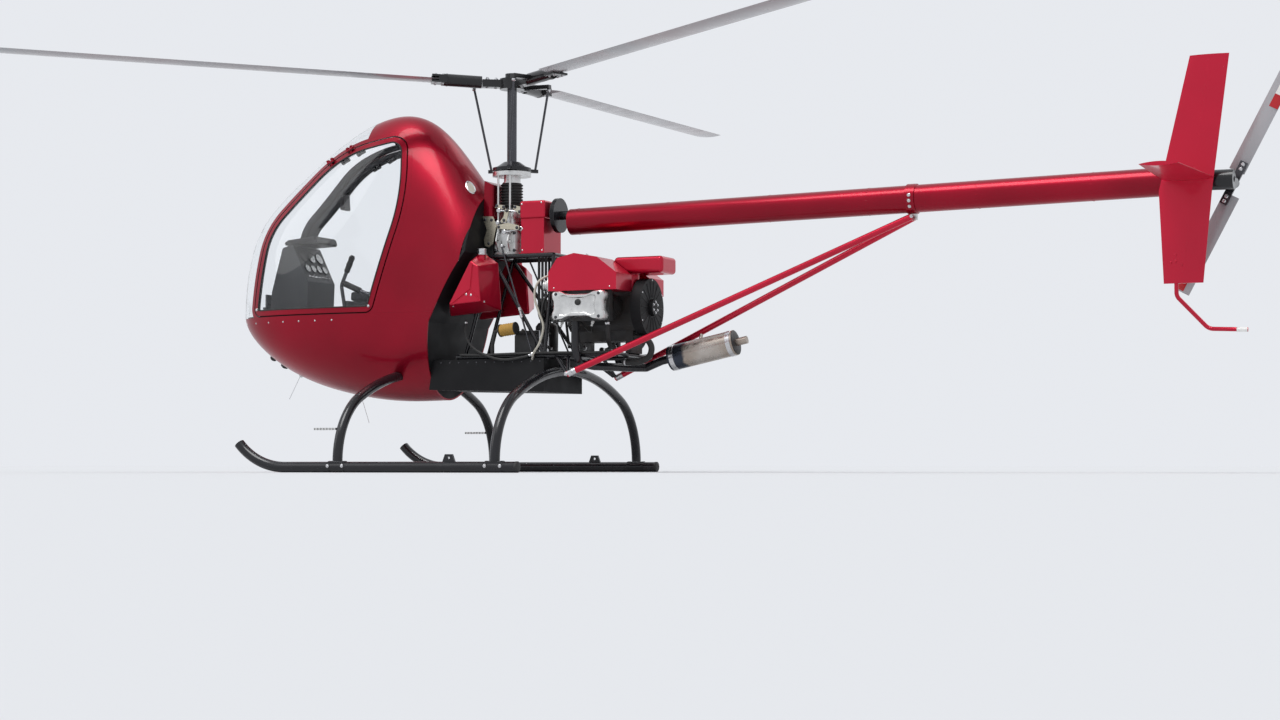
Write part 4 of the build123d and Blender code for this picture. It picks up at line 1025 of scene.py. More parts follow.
class HELI_OT_upholstery(Operator):
    """Padded cushions and the harness"""

    bl_idname = "heli.upholstery"
    bl_label = "Seat"

    def execute(self, context):
        for node in ("seat_cushion", "back_cushion"):
            self.cushion(node)
        self.harness()
        return {"FINISHED"}

    def cushion(self, node):
        """A crowned pad in the space of its CAD solid, with sewn channels across it."""
        mesh = merged(node)
        middle = sum((v.co for v in mesh.verts), Vector()) / len(mesh.verts)
        shrink = sizes().cushion_swell * 0.5
        for vert in mesh.verts:
            out = vert.co - middle
            vert.co -= Vector([math.copysign(min(shrink, abs(c)), c) for c in out])
        pad = linked(f"padded_{node}", mesh)
        self.modify(pad, "REMESH", mode="VOXEL", voxel_size=0.008)
        self.inflate(pad)
        self.sew(pad, node)
        self.modify(pad, "SUBSURF", levels=1, render_levels=1)
        pad.data.materials.clear()
        pad.data.materials.append(finish("seat_cloth"))
        pad.data.shade_smooth()
        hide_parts(node)
        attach(pad, AIRFRAME)

    def modify(self, obj, kind, **settings):
        modifier = obj.modifiers.new(kind.lower(), kind)
        for key, value in settings.items():
            setattr(modifier, key, value)
        self.apply(obj)

    def apply(self, obj):
        """Turn the evaluated shape into the object's own mesh."""
        bpy.context.view_layer.update()
        graph = bpy.context.evaluated_depsgraph_get()
        made = bpy.data.meshes.new_from_object(obj.evaluated_get(graph))
        obj.modifiers.clear()
        obj.data = made

    def inflate(self, pad):
        """Swell the pad with cloth under pressure, and cap how far each point moves."""
        before = [v.co.copy() for v in pad.data.vertices]
        cloth = pad.modifiers.new("cloth", "CLOTH")
        cloth.settings.use_pressure = True
        cloth.settings.uniform_pressure_force = 4.0
        cloth.settings.effector_weights.gravity = 0.0
        cloth.settings.quality = 4
        scene = bpy.context.scene
        for step in range(1, 21):
            scene.frame_set(step)
        self.apply(pad)
        scene.frame_set(1)
        cap = sizes().cushion_swell
        for vert, start in zip(pad.data.vertices, before):
            move = vert.co - start
            if move.length > cap:
                vert.co = start + move * (cap / move.length)

    def sew(self, pad, node):
        """Press channels across the pad on its free face."""
        low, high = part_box(node)
        count = sizes().flutes
        width = (high.y - low.y) / count
        inward = Vector((-0.7, 0, -0.7)) if node == "back_cushion" else -UP
        for vert in pad.data.vertices:
            share = (vert.co.y - low.y) / width
            away = abs(share - round(share)) * width
            if 0 < round(share) < count and away < SEAM_HALF:
                vert.co += inward * SEAM_DEPTH * (1 - away / SEAM_HALF) ** 0.6

    def harness(self):
        straps, buckle = Shape(), Shape()
        for side in SIDES:
            for line, across in ((SHOULDER_STRAP, PORT), (LAP_STRAP, UP + AFT)):
                self.strap(straps, flowing([sided(side, *p) for p in line], 8), 0.023, across)
        buckle.turned(at(*BUCKLE), Vector((0.5, 0, 1)),
                      [(0, 0.026), (0.014, 0.028), (0.02, 0.022), (0.022, 0.01)], 24)
        straps.piece("harness_straps", "webbing")
        buckle.piece("harness_buckle", "bright_steel", slot="dark_steel")

    def strap(self, shape, line, half_width, across):
        """A flat woven strap that follows a line."""
        rings = []
        for i, point in enumerate(line):
            ahead = (line[min(i + 1, len(line) - 1)] - line[max(i - 1, 0)]).normalized()
            wide = (across - ahead * across.dot(ahead)).normalized() * half_width
            thick = ahead.cross(wide).normalized() * 0.0012
            rings.append([point - wide - thick, point + wide - thick, point + wide + thick,
                          point - wide + thick])
        shape.rings(rings)


# Dials on the sloping panel: share up the slope, place to port, radius share
DIALS = [(0.74, -0.085, 1.0), (0.74, 0.0, 1.0), (0.74, 0.085, 1.0), (0.40, -0.095, 0.72),
         (0.40, -0.032, 0.72), (0.40, 0.032, 0.72), (0.40, 0.095, 0.72)]
PANEL_TOP = (1400, 1345)
PANEL_FOOT = (1290, 1140)
# Switches along the panel's foot: how many, their spacing and height
SWITCHES = 7
SWITCH_PITCH = 35
SWITCH_Z = 1172
HOOD = [(1250, -125, 1368), (1470, -145, 1362), (1455, -140, 1392), (1262, -120, 1414)]
HINGE_SLOPE = math.radians(27)
HINGE_PLACES = ((990, 1856), (885, 1900))
HINGE_BARREL = [(0, 0.010), (0.003, 0.015), (0.024, 0.015), (0.026, 0.012), (0.030, 0.012),
                (0.032, 0.015), (0.053, 0.015), (0.056, 0.010)]
MIRROR_FOOT = (1262, -185, 1722)
MIRROR_REACH = Vector((-0.04, 0.03, -0.085))
MIRROR_OUTLINE = [(-0.04, -0.045), (0.04, -0.045), (0.045, 0.03), (0.02, 0.05), (-0.03, 0.05)]
STICK_FOOT = (1120, 0, 892)
STICK_GRIP = [(0, 0.014), (0.008, 0.018), (0.03, 0.0165), (0.05, 0.019), (0.07, 0.0165),
              (0.095, 0.0185), (0.108, 0.011)]
LEVER_GRIP = [(0, 0.014), (0.006, 0.018), (0.06, 0.0175), (0.12, 0.018), (0.131, 0.012)]


class HELI_OT_cockpit(Operator):
    """Dials, switches, the glare hood and the rail mirror"""

    bl_idname = "heli.cockpit"
    bl_label = "Cockpit details"

    def execute(self, context):
        panel = Skin("instrument_panel")
        self.dials(panel)
        self.switches(panel)
        hood = Shape()
        hood.rings([[sided(side, *p) for p in HOOD] for side in SIDES])
        hood.piece("glare_hood", "seat_shell_black", bevel=0.008)
        self.mirror()
        self.hinges()
        self.grips()
        return {"FINISHED"}

    def dials(self, panel):
        rims, faces, marks, glass = Shape(), Shape(), Shape(), Shape()
        turner = random.Random(4)
        for share, y, size in DIALS:
            x, z = (foot + (top - foot) * share for foot, top in zip(PANEL_FOOT, PANEL_TOP))
            place, normal = panel.strike(at(x - 300, y * 1000, z), -AFT)
            radius = sizes().dial * size
            rims.turned(place, normal, [(-0.002, radius * 1.14), (0.006, radius * 1.14),
                                        (0.008, radius * 1.05), (0.003, radius)], 32)
            faces.turned(place, normal, [(0.0, radius), (0.0034, radius * 0.99)], 32)
            glass.turned(place, normal, [(0.0062, radius), (0.0072, radius * 0.99)], 32)
            for tick in range(11):
                self.mark(marks, place + normal * 0.0036, normal, radius,
                          math.radians(-135 + 27 * tick), (0.74, 0.92), (0.025, 0.025), 0.0003)
            self.mark(marks, place + normal * 0.005, normal, radius,
                      turner.uniform(0.2, 1.4) * math.pi, (0, 0.7), (0.035, 0.007), 0.0004)
        rims.piece("dial_rims", "dark_steel")
        faces.piece("dial_faces", "dial_face")
        marks.piece("dial_marks", "white_paint", smooth=False)
        glass.piece("dial_glasses", "clear_glazing")

    def mark(self, shape, place, normal, radius, angle, reach, widths, thick):
        """A tick or a needle, between two shares of the dial's radius."""
        out = (PORT * math.sin(angle) + normal.cross(PORT).normalized() * math.cos(angle)) * radius
        near, far = (place + out * share for share in reach)
        wide, wide_far = (normal.cross(out) * share for share in widths)
        shape.slab([near - wide, near + wide, far + wide_far, far - wide_far], normal, thick)

    def switches(self, panel):
        levers, plates = Shape(), Shape()
        for i in range(SWITCHES):
            y = SWITCH_PITCH * (i - (SWITCHES - 1) / 2)
            place, normal = panel.strike(at(1000, y, SWITCH_Z), -AFT)
            plates.turned(place, normal, [(-0.001, 0.007), (0.002, 0.007), (0.005, 0.0045)], 6)
            up = (normal + UP * (0.7 if i % 2 else -0.4)).normalized()
            levers.turned(place, up, [(0.003, 0.0018), (0.016, 0.0026), (0.018, 0.0016)], 10)
        plates.piece("switch_collars", "bright_steel")
        levers.piece("switch_levers", "bright_steel")

    def mirror(self):
        foot = at(*MIRROR_FOOT)
        centre = foot + MIRROR_REACH
        pod = Shape()
        pod.rings([[centre + Vector((ahead, wide, high)) for wide, high in MIRROR_OUTLINE]
                   for ahead in (-0.016, 0.012)])
        pod.tube([foot, foot + Vector((0, 0.02, -0.015)), centre], 0.006, 12)
        pod.piece("rail_mirror", "seat_shell_black", bevel=0.004)

    def hinges(self):
        """Dark barrels of the door hinges under the canopy rails."""
        barrels = Shape()
        ahead = Vector((math.cos(HINGE_SLOPE), 0, -math.sin(HINGE_SLOPE)))
        for side in SIDES:
            for x, z in HINGE_PLACES:
                barrels.turned(at(x, side * 180, z), ahead, HINGE_BARREL, 20)
        barrels.piece("hinge_barrels", "grip_black", slot="seat_shell_black")

    def grips(self):
        """The stick's ribbed boot, and rubber grips on the stick and the lever."""
        boot, grips = Shape(), Shape()
        ribs = [(0.010 * i + (0.004 if i % 2 else 0.0), 0.036 - 0.003 * i) for i in range(1, 7)]
        boot.turned(at(*STICK_FOOT), UP, [(0, 0.045), *ribs, (0.075, 0.013)], 20)
        for base, tip, length_back, profile in (
                (at(1112, 0, 1205), at(1075, 0, 1290), 0.10, STICK_GRIP),
                (at(900, 250, 1076), at(984, 250, 1112), 0.13, LEVER_GRIP)):
            along = (tip - base).normalized()
            grips.turned(tip - along * length_back, along, profile, 20)
        boot.piece("stick_boot", "rubber")
        grips.piece("stick_grips", "rubber")


CYLINDER_XS = (-500, -690)
CRANK_Z = 930
FILLER = (75, 228, 1246)
TANK_SCREWS = [(212, 948), (112, 1012), (82, 1008), (14, 970)]
# A quarter of the valve cover's waisted outline, in half lengths and half heights
COVER_QUARTER = [(0.93, 0.0), (0.94, 0.34), (0.99, 0.52), (1.0, 0.72), (0.985, 0.88), (0.93, 0.97),
                 (0.84, 1.0), (0.70, 1.0), (0.60, 0.95), (0.50, 0.84), (0.36, 0.78), (0.0, 0.77)]
# The cover's steps outwards: share of its depth and size of the outline there
COVER_STEPS = [(0.0, 1.0), (0.62, 1.0), (0.80, 0.985), (0.92, 0.955), (1.0, 0.90), (0.985, 0.70),
               (0.84, 0.64), (0.82, 0.60)]
GENERATOR_REAR = (-405, 150, 1060)
GENERATOR_PULLEY = [(0, 0.012), (0.012, 0.012), (0.013, 0.032), (0.018, 0.032), (0.022, 0.026),
                    (0.027, 0.032), (0.032, 0.032), (0.033, 0.012)]
LOWER_PULLEY = [(0, 0.030), (0.15, 0.030), (0.151, 0.064), (0.165, 0.064), (0.17, 0.058),
                (0.175, 0.064), (0.19, 0.064), (0.195, 0.058), (0.20, 0.064), (0.218, 0.064),
                (0.219, 0.028), (0.232, 0.024)]
OIL_TANK = [(0, 0.060), (0.006, 0.066), (0.20, 0.066), (0.222, 0.050), (0.224, 0.026),
            (0.245, 0.026), (0.247, 0.020)]
TURNBUCKLE = [(0, 0.006), (0.003, 0.0095), (0.022, 0.0095), (0.025, 0.0065), (0.043, 0.0065),
              (0.046, 0.0095), (0.065, 0.0095), (0.068, 0.006)]
LINK_EYE = [(0, 0.011), (0.002, 0.0135), (0.016, 0.0135), (0.018, 0.011)]
# Links beside the gearbox, from eye to eye
LINKS = [((-14, 122, 1384), (-112, 104, 1400)), ((30, 104, 1512), (-112, 96, 1500)),
         ((38, 104, 1440), (8, 74, 1452))]
# Lever plates beside the gearbox: distance to the side, outline and pivots as (x, z)
CRANK_PLATES = [
    (112, [(132, 1482), (62, 1478), (40, 1424), (62, 1322), (88, 1300), (114, 1308), (122, 1344),
           (102, 1400)], [(114, 1462), (72, 1458), (90, 1322)]),
    (126, [(34, 1424), (28, 1404), (-104, 1392), (-116, 1402), (-112, 1418), (-40, 1436)],
     [(18, 1414), (-100, 1405)]),
    (118, [(-20, 1520), (-44, 1512), (-30, 1446), (4, 1438), (10, 1452), (-8, 1472)],
     [(-30, 1506), (-12, 1452)]),
    (108, [(44, 1548), (-10, 1540), (-16, 1526), (-2, 1518), (52, 1530)],
     [(40, 1538), (-4, 1530)]),
    (100, [(-66, 1540), (-112, 1528), (-120, 1500), (-104, 1484), (-84, 1500), (-62, 1520)],
     [(-104, 1500), (-74, 1528)]),
]
# Hoses: name, finish, share of the usual radius and the routes
HOSES = [
    ("coolant_hose", "pale_hose", 0.6,
     [[(-415, 205, 1105), (-370, 260, 1108), (-318, 292, 1070), (-300, 300, 990), (-328, 300, 900),
       (-356, 300, 820), (-332, 296, 732), (-285, 280, 672), (-262, 250, 640)]]),
    ("oil_hoses", "rubber", 0.7,
     [[(170, 240, 872), (160, 258, 780), (110, 262, 710), (10, 262, 660), (-90, 262, 640),
       (-210, 262, 652), (-262, 250, 668)],
      [(-420, 90, 1000), (-330, 120, 1020), (-280, 150, 960), (-280, 160, 760),
       (-330, 120, 690)],
      [(-420, -80, 990), (-330, -130, 1010), (-270, -170, 920), (-300, -150, 720)]]),
    ("oil_return_bend", "rubber", 1.6,
     [[(-740, 60, 622), (-830, 60, 622), (-896, 60, 646), (-916, 60, 696), (-892, 60, 742),
       (-836, 60, 760), (-760, 60, 766)]]),
]
# An intake pipe's route: ahead of its cylinder, to the side, and down from the crankshaft
INTAKE = [(-46, 262, -82), (-46, 262, -130), (-40, 236, -190), (-30, 176, -226), (-24, 110, -226)]
MUFFLER_ENDS = ((-930, -190, 650), (-1325, -190, 733))
FILTER_ENDS = ((-50, 240, 806), (-158, 244, 818))


class HELI_OT_engine(Operator):
    """Bolts, plugs, leads, hoses and the air filter on the engine"""

    bl_idname = "heli.engine"
    bl_label = "Engine details"

    def execute(self, context):
        for make in (self.covers, self.plugs, self.hoses, self.intakes, self.cowls, self.fan,
                     self.silencer, self.filter, self.generator, self.gearbox, self.belts,
                     self.battery, self.controls, self.tanks):
            make()
        return {"FINISHED"}

    def generator(self):
        """The generator in front of the crankcase, on its bracket."""
        body, ends, foot = Shape(), Shape(), Shape()
        rear = at(*GENERATOR_REAR)
        body.turned(rear, -AFT, [(0, 0.030), (0.006, 0.047), (0.075, 0.047), (0.080, 0.030)], 28)
        for along in (-0.004, 0.066):
            ends.turned(rear - AFT * along, -AFT, banded(0.018, 0.044, 0.0055, 0.003), 28)
        ends.turned(rear - AFT * 0.08, -AFT, GENERATOR_PULLEY, 28)
        foot.block(at(-424, 96, 985), at(-345, 112, 1040))
        foot.block(at(-424, 112, 1000), at(-345, 150, 1020))
        body.piece("generator_body", "engine_casting")
        ends.piece("generator_ends", "bare_aluminium")
        foot.piece("generator_bracket", "bright_steel", bevel=0.002)

    def gearbox(self):
        """The ribbed boot, flange bolts, plugs and links on the main gearbox."""
        boot, bolts, links = Shape(), Shape(), Shape()
        ribs = [(0.017 * i + along, radius) for i in range(9) for along, radius in
                ((0, 0.0655), (0.006, 0.0655), (0.009, 0.0575), (0.014, 0.0575))]
        boot.turned(at(0, 0, 1528), UP, ribs, 36)
        for out in around(-AFT, PORT, 10, 0.5):
            bolts.bolt(at(0, 0, 1402) + out * 0.0785, UP, sizes().bolt)
        corners = [(x, z) for z in (1280, 1380) for x in (-60, 60)]
        Skin("main_gearbox").fasten_sides(bolts.bolt, corners, sizes().bolt)
        for side in SIDES:
            for ends in LINKS:
                eyes = [sided(side, *p) for p in ends]
                links.tube(eyes, 0.0065, 12)
                for eye in eyes:
                    links.turned(eye - PORT * side * 0.009, PORT * side, LINK_EYE, 16)
        self.cranks()
        boot.piece("mast_boot", "rubber")
        bolts.piece("gearbox_bolts", "dark_steel")
        links.piece("control_links", "bright_steel")

    def cranks(self):
        """Flat plated levers with their pivot bolts on both sides of the gearbox."""
        plates, pivots = Shape(), Shape()
        for side in SIDES:
            for y, outline, holes in CRANK_PLATES:
                plates.slab([sided(side, x, y, z) for x, z in outline], PORT * side, 0.004)
                for x, z in holes:
                    pivots.bolt(sided(side, x, y + 4, z), PORT * side, sizes().bolt)
                    pivots.tube([sided(side, x, y + 1, z), sided(side, x, y - 26, z)], 0.005, 12)
        plates.piece("crank_plates", "plated_steel", bevel=0.0008)
        pivots.piece("crank_pivots", "dark_steel")

    def belts(self):
        """The lower pulley on the crankshaft and the belts up to the casing."""
        wheel, belts = Shape(), Shape()
        wheel.turned(at(-419, 0, CRANK_Z), -AFT, LOWER_PULLEY, 36)
        for side in SIDES:
            for x in (-262, -240, -218):
                belts.block(sided(side, x, 62, CRANK_Z), sided(side, x + 13, 70, 1256))
        wheel.piece("lower_pulley", "black_tube_paint")
        belts.piece("drive_belts", "rubber")

    def battery(self):
        """The battery and the oil tank that stand on the pan ahead of the engine."""
        case, lid, straps, tank = Shape(), Shape(), Shape(), Shape()
        case.block(at(-235, -30, 640), at(-95, 150, 790))
        lid.block(at(-240, -35, 790), at(-90, 155, 808))
        for y in (10, 110):
            lid.turned(at(-130, y, 806), UP, [(0, 0.010), (0.014, 0.010), (0.016, 0.006)], 14)
            straps.block(at(-241, y - 12, 640), at(-89, y + 12, 811))
        tank.turned(at(-165, -130, 646), UP, OIL_TANK, 32)
        case.piece("battery_case", "seat_shell_black", bevel=0.006)
        lid.piece("battery_lid", "rubber", bevel=0.004)
        straps.piece("battery_straps", "bright_steel", bevel=0.001)
        tank.piece("oil_tank", "engine_casting")

    def controls(self):
        """Control rods with turnbuckles from the cranks down to the frame."""
        rods, ends = Shape(), Shape()
        for side in SIDES:
            top, foot = sided(side, -12, 150, 1300), sided(side, -262, 250, 668)
            ahead = (foot - top).normalized()
            out = PORT * side
            rods.tube([top, foot], 0.0055, 10)
            ends.turned(top.lerp(foot, 0.62) - ahead * 0.034, ahead, TURNBUCKLE, 12)
            ends.turned(foot - out * 0.01, out, [(0, 0.011), (0.02, 0.011), (0.024, 0.006)], 14)
            ends.turned(top - out * 0.03, out, [(0, 0.009), (0.034, 0.009), (0.038, 0.005)], 14)
        rods.piece("control_rods", "dark_steel")
        ends.piece("control_rod_ends", "bright_steel")

    def tanks(self):
        """Sleeves under the filler caps and screws on the tanks' stars."""
        sleeves, screws = Shape(), Shape()
        for side in SIDES:
            sleeves.turned(sided(side, *FILLER), UP,
                           [(-0.004, 0.0255), (0.0, 0.031), (0.006, 0.031), (0.008, 0.0265),
                            (0.034, 0.0265), (0.036, 0.024)], 28)
        tanks = Skin("fuel_tank_port", "fuel_tank_starboard")
        tanks.fasten_sides(screws.rivet, TANK_SCREWS, sizes().screw * 1.2)
        sleeves.piece("tank_sleeves", "bright_steel")
        screws.piece("tank_screws", "bright_steel")

    def covers(self):
        """Waisted and dished valve covers with a bolt at each lobe."""
        low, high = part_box("valve_covers")
        centre = (low + high) / 2
        inner = min(abs(v.co.y - centre.y) for v in frame["nodes"]["valve_covers"].data.vertices)
        half_x, half_z = (high.x - low.x) / 2, (high.z - low.z) / 2
        outer = high.y - centre.y
        depth = outer - inner
        outline = [(u * right, v * top) for right, top, quarter in
                   ((1, 1, COVER_QUARTER), (-1, 1, COVER_QUARTER[::-1]),
                    (-1, -1, COVER_QUARTER), (1, -1, COVER_QUARTER[::-1]))
                   for u, v in quarter[:-1]]
        covers, bolts, plugs = Shape(), Shape(), Shape()
        for side in SIDES:
            rings = []
            for share, size in COVER_STEPS:
                y = centre.y + side * (inner + depth * share)
                ring = [Vector((centre.x + half_x * u * size, y, centre.z + half_z * v * size))
                        for u, v in outline]
                rings.append(ring if side < 0 else ring[::-1])
            covers.rings(rings)
            for u, v in ((0.80, 0.78), (-0.80, 0.78), (0.80, -0.78), (-0.80, -0.78)):
                bolts.bolt(centre + Vector((half_x * u, side * (outer - 0.0015), half_z * v)),
                           PORT * side, sizes().bolt)
            plugs.turned(centre + Vector((0, side * (outer - depth * 0.18), half_z * 0.2)),
                         PORT * side, [(0, 0.017), (0.006, 0.017), (0.008, 0.012)], 20)
        cover = covers.piece("rocker_covers", "bare_aluminium")
        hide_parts("valve_covers")
        bolts.piece("cover_bolts", "dark_steel")
        plugs.piece("cover_plugs", "rubber")

    def plugs(self):
        """Spark plugs above and below each head, with their leads."""
        plugs, leads = Shape(), Shape()
        for side in SIDES:
            for x in CYLINDER_XS:
                for way in (1, -1):
                    foot = at(x + 40, side * 268, CRANK_Z + way * 85)
                    out = Vector((0.15, 0.35 * side, way)).normalized()
                    plugs.turned(foot, out, [(-0.01, 0.009), (0.012, 0.009), (0.014, 0.006),
                                             (0.03, 0.006), (0.032, 0.004)], 12)
                    tip = foot + out * 0.028
                    end = at(-400 + 24 * way, side * (60 + 12 * way), CRANK_Z + 108)
                    middle = (tip + end) / 2 + Vector((0.03, 0.05 * side, 0.02 * way))
                    leads.tube(flowing([tip, tip + out * 0.04, middle, end], 7), sizes().lead, 8)
        plugs.piece("spark_plugs", "white_paint", slot="bare_aluminium")
        leads.piece("plug_leads", "rubber")

    def hoses(self):
        clamps = Shape()
        for name, finish_name, share, routes in HOSES:
            hose = Shape()
            radius = sizes().hose * share
            for route in routes:
                line = flowing([at(*p) for p in route], 8)
                hose.tube(line, radius, 14)
                for end, following in ((line[0], line[1]), (line[-1], line[-2])):
                    ahead = (following - end).normalized()
                    clamps.turned(end + ahead * 0.012, ahead,
                                  [(0, radius * 1.12), (0.009, radius * 1.12)], 18)
            hose.piece(name, finish_name)
        clamps.piece("hose_clamps", "bright_steel")

    def intakes(self):
        """Rubber intake pipes with clamps, from the heads in to the sump."""
        pipes, clamps = Shape(), Shape()
        radius = sizes().hose * 1.25
        for side in SIDES:
            for x in CYLINDER_XS:
                line = flowing([sided(side, x + dx, y, CRANK_Z + dz) for dx, y, dz in INTAKE], 8)
                pipes.tube(line, radius, 18)
                for end, following in ((line[2], line[3]), (line[-3], line[-2])):
                    ahead = (following - end).normalized()
                    clamps.turned(end, ahead, banded(0.013, radius, radius * 0.08), 22)
                    clamps.bolt(end + ahead * 0.006 + PORT * side * radius * 1.05, PORT * side,
                                sizes().bolt * 0.8)
        pipes.piece("intake_pipes", "rubber")
        clamps.piece("intake_clamps", "bright_steel")

    def cowls(self):
        cowl = Skin("engine_cowls")
        studs = Shape()
        for side in SIDES:
            for x in (-500, -620):
                cowl.fasten(studs.bolt, at(x, side * 285, 1400), -UP, sizes().bolt)
        cowl.fasten_sides(studs.rivet, [(-436, 1032), (-780, 1032)], sizes().rivet * 1.3)
        studs.piece("cowl_fasteners", "bright_steel")

    def fan(self):
        """Radial ribs and bolts on the fan's rear face."""
        low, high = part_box("fan_housing")
        centre = (low + high) / 2
        hub = Vector((low.x, centre.y, centre.z))
        rear = hub + Vector((0.024, 0, 0))
        ribs, bolts = Shape(), Shape()
        for out in around(PORT, UP, 18):
            ribs.tube([rear + out * 0.058, rear + out * 0.148], 0.0045, 8)
        for out in around(PORT, UP, 6, 0.5):
            bolts.bolt(rear + out * 0.156, AFT, sizes().bolt * 0.8)
            bolts.bolt(hub + out * 0.03, AFT, sizes().bolt * 0.8)
        ribs.piece("fan_ribs", "matt_black")
        bolts.piece("fan_bolts", "bright_steel")

    def silencer(self):
        start, end = (at(*p) for p in MUFFLER_ENDS)
        ahead = (end - start).normalized()
        bands, caps = Shape(), Shape()
        for share in (0.06, 0.94):
            bands.turned(start.lerp(end, share) - ahead * 0.014, ahead,
                         banded(0.028, 0.0725, 0.002), 40)
        for place, way in ((start, -1), (end, 1)):
            caps.turned(place, ahead * way, [(-0.006, 0.071), (0.002, 0.070), (0.006, 0.060),
                                             (0.008, 0.030)], 40)
        bands.piece("silencer_bands", "bright_steel")
        caps.piece("silencer_ends", "engine_casting")

    def filter(self):
        """The pleated air filter with its end caps and the pipe down from it."""
        element, ends = Shape(), Shape()
        start, end = (at(*p) for p in FILTER_ENDS)
        ahead = (end - start).normalized()
        span = (end - start).length
        pleats = [(span * (0.08 + 0.84 * i / 12), 0.036 if i % 2 else 0.031) for i in range(13)]
        element.turned(start, ahead, pleats, 28)
        for share in (0.0, 0.92):
            ends.turned(start + ahead * span * share, ahead,
                        [(0, 0.030), (0.003, 0.037), (span * 0.08 - 0.001, 0.037)], 28)
        bend = start - ahead * 0.05
        ends.tube([start, start - ahead * 0.03, bend - UP * 0.07, bend - UP * 0.135], 0.012, 14)
        element.piece("air_filter", "filter_felt")
        ends.piece("air_filter_ends", "rubber")


HUB_CENTRE = (0, 0, 2260)
BLADE_ANGLES = (33.0, 153.0, 273.0)
PRECONE_DEG = 2.5
# Bolts of each blade: place along it, beside it and off its middle plane, and relative size
BLADE_BOLTS = [(x, y, 23.6, 1.0) for x in (405, 447) for y in (-28, 28)]
BLADE_BOLTS += [(x, 0, 24, 1.2) for x in (95, 145)]


class HELI_OT_rotor(Operator):
    """Bolts, bearings, link ends and blade bands on the main rotor"""

    bl_idname = "heli.rotor"
    bl_label = "Rotor details"

    def execute(self, context):
        bolts, collars, ends = Shape(), Shape(), Shape()
        hub = at(*HUB_CENTRE)
        for angle in BLADE_ANGLES:
            turn = (Matrix.Rotation(math.radians(angle), 3, "Z")
                    @ Matrix.Rotation(math.radians(-PRECONE_DEG), 3, "Y"))
            up, out = turn @ UP, turn @ -AFT
            for x, y, lift, size in BLADE_BOLTS:
                for face in (1, -1):
                    place = hub + turn @ (Vector((x, y, face * lift)) * MM)
                    bolts.bolt(place, up * face, sizes().bolt * size)
            collars.turned(hub + out * 0.376, out, banded(0.010, 0.0363, 0.0015), 32)
            low = hub + turn @ (Vector((210, -140, -20)) * MM)
            ends.turned(low - up * 0.006, up, [(-0.006, 0.006), (0, 0.012), (0.010, 0.012),
                                               (0.014, 0.006)], 16)
        bolts.turned(at(0, 0, 2298), UP, [(0, 0.034), (0.018, 0.034), (0.021, 0.030)], 6)
        bolts.piece("rotor_bolts", "bright_steel", MAIN_ROTOR, "dark_steel")
        collars.piece("grip_collars", "grip_black", MAIN_ROTOR, "dark_steel")
        ends.piece("link_ends", "bright_steel", MAIN_ROTOR, "dark_steel")
        return {"FINISHED"}


SKID_Y = 925
LEG_XS = (602, -379)


class HELI_OT_landing_gear(Operator):
    """End caps, straps and bolts on the skids"""

    bl_idname = "heli.landing_gear"
    bl_label = "Skid details"

    def execute(self, context):
        caps, straps, bolts = Shape(), Shape(), Shape()
        for side in SIDES:
            caps.turned(sided(side, -518, SKID_Y, 30.6), AFT,
                        [(-0.012, 0.0305), (0.0, 0.0305), (0.003, 0.026), (0.004, 0.01)], 28)
            for x in (leg + away for leg in LEG_XS for away in (-46, 46)):
                straps.turned(sided(side, x - 9, SKID_Y, 32.3), -AFT,
                              banded(0.018, 0.0302, 0.002), 32)
                bolts.bolt(sided(side, x, SKID_Y + 32, 36), PORT * side, sizes().bolt)
        caps.piece("skid_end_caps", "rubber")
        straps.piece("leg_straps", "black_tube_paint")
        bolts.piece("strap_bolts", "bright_steel")
        return {"FINISHED"}


BRACE_FOOT = (-518, 326, 548)
BRACE_TOP = (-2430, 20, 1377)
LOOM = [(200, 252, 672), (40, 254, 669), (-300, 253, 674), (-620, 254, 670), (-760, 252, 672)]
HOUSING_SCREWS = [(-370, 1275), (-370, 1400), (-370, 1540), (-250, 1545), (-125, 1540),
                  (-125, 1400), (-125, 1275), (-250, 1270)]


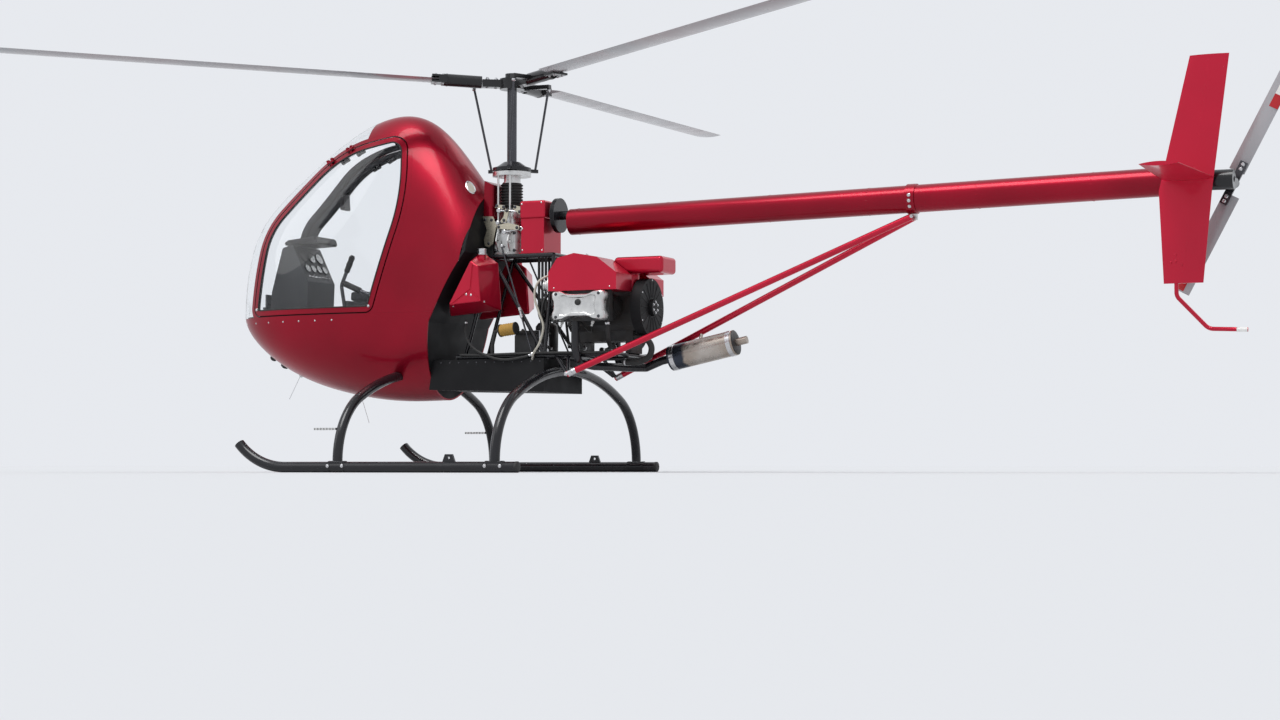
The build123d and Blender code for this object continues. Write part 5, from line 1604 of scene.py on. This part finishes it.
class HELI_OT_frame_details(Operator):
    """Wiring, ties and panel fasteners on the frame, pan and housings"""

    bl_idname = "heli.frame_details"
    bl_label = "Frame details"

    def execute(self, context):
        self.loom()
        self.forks()
        for name, node, finish_name, places, radius in (
                ("pan_screws", "belly_pan", "dark_steel",
                 [(x, 628) for x in range(-310, 380, 58)], sizes().screw * 0.8),
                ("housing_screws", "belt_housing", "bright_steel", HOUSING_SCREWS,
                 sizes().screw)):
            screws = Shape()
            Skin(node).fasten_sides(screws.rivet, places, radius)
            screws.piece(name, finish_name)
        return {"FINISHED"}

    def forks(self):
        """Forked ends with bolts at the feet of the boom braces."""
        forks, bolts = Shape(), Shape()
        for side in SIDES:
            foot, top = sided(side, *BRACE_FOOT), sided(side, *BRACE_TOP)
            ahead = (top - foot).normalized()
            proud = PORT * side * 0.017
            forks.turned(foot + ahead * 0.004, ahead, [(0, 0.012), (0.004, 0.0185), (0.05, 0.0185),
                                                       (0.056, 0.016)], 18)
            bolts.bolt(foot + proud, PORT * side, sizes().bolt * 1.2)
            bolts.bolt(foot + ahead * 0.035 + proud, PORT * side, sizes().bolt)
        forks.piece("brace_forks", "bright_steel")
        bolts.piece("brace_fork_bolts", "bright_steel")

    def loom(self):
        """The wiring along the frame, tied at even distances."""
        loom, ties = Shape(), Shape()
        for side in SIDES:
            path = flowing([sided(side, *p) for p in LOOM], 10)
            loom.tube(path, 0.008, 10)
            for i in range(4, len(path) - 2, 6):
                ahead = (path[i + 1] - path[i]).normalized()
                ties.turned(path[i], ahead, [(0, 0.0092), (0.004, 0.0092)], 14)
        loom.piece("wiring_loom", "rubber")
        ties.piece("loom_ties", "seat_shell_black")


OPERATORS = (HELI_OT_camera, HELI_OT_stage, HELI_OT_paint, HELI_OT_hull_details, HELI_OT_doors,
             HELI_OT_lining, HELI_OT_roof, HELI_OT_cockpit, HELI_OT_upholstery, HELI_OT_engine,
             HELI_OT_rotor, HELI_OT_landing_gear, HELI_OT_frame_details, HELI_OT_tail)


class HELI_PT_sidebar(Panel):
    """Lists the settings and the steps of the helicopter's finish"""

    bl_idname = "HELI_PT_sidebar"
    bl_label = "Helicopter"
    bl_space_type = "VIEW_3D"
    bl_region_type = "UI"
    bl_category = "Helicopter"

    def draw(self, context):
        for group in (context.scene.helicopter_colours, context.scene.helicopter_sizes):
            for key in group.__annotations__:
                self.layout.prop(group, key)
        for operator in OPERATORS:
            self.layout.operator(operator.bl_idname)


CLASSES = (HelicopterColours, HelicopterSizes, *OPERATORS, HELI_PT_sidebar)


def register():
    for cls in CLASSES:
        bpy.utils.register_class(cls)
    bpy.types.Scene.helicopter_colours = PointerProperty(type=HelicopterColours)
    bpy.types.Scene.helicopter_sizes = PointerProperty(type=HelicopterSizes)


def unregister():
    del bpy.types.Scene.helicopter_sizes
    del bpy.types.Scene.helicopter_colours
    for cls in reversed(CLASSES):
        bpy.utils.unregister_class(cls)


def main():
    register()
    for operator in OPERATORS:
        group, name = operator.bl_idname.split(".")
        getattr(getattr(bpy.ops, group), name)()


if __name__ == "__main__":
    main()
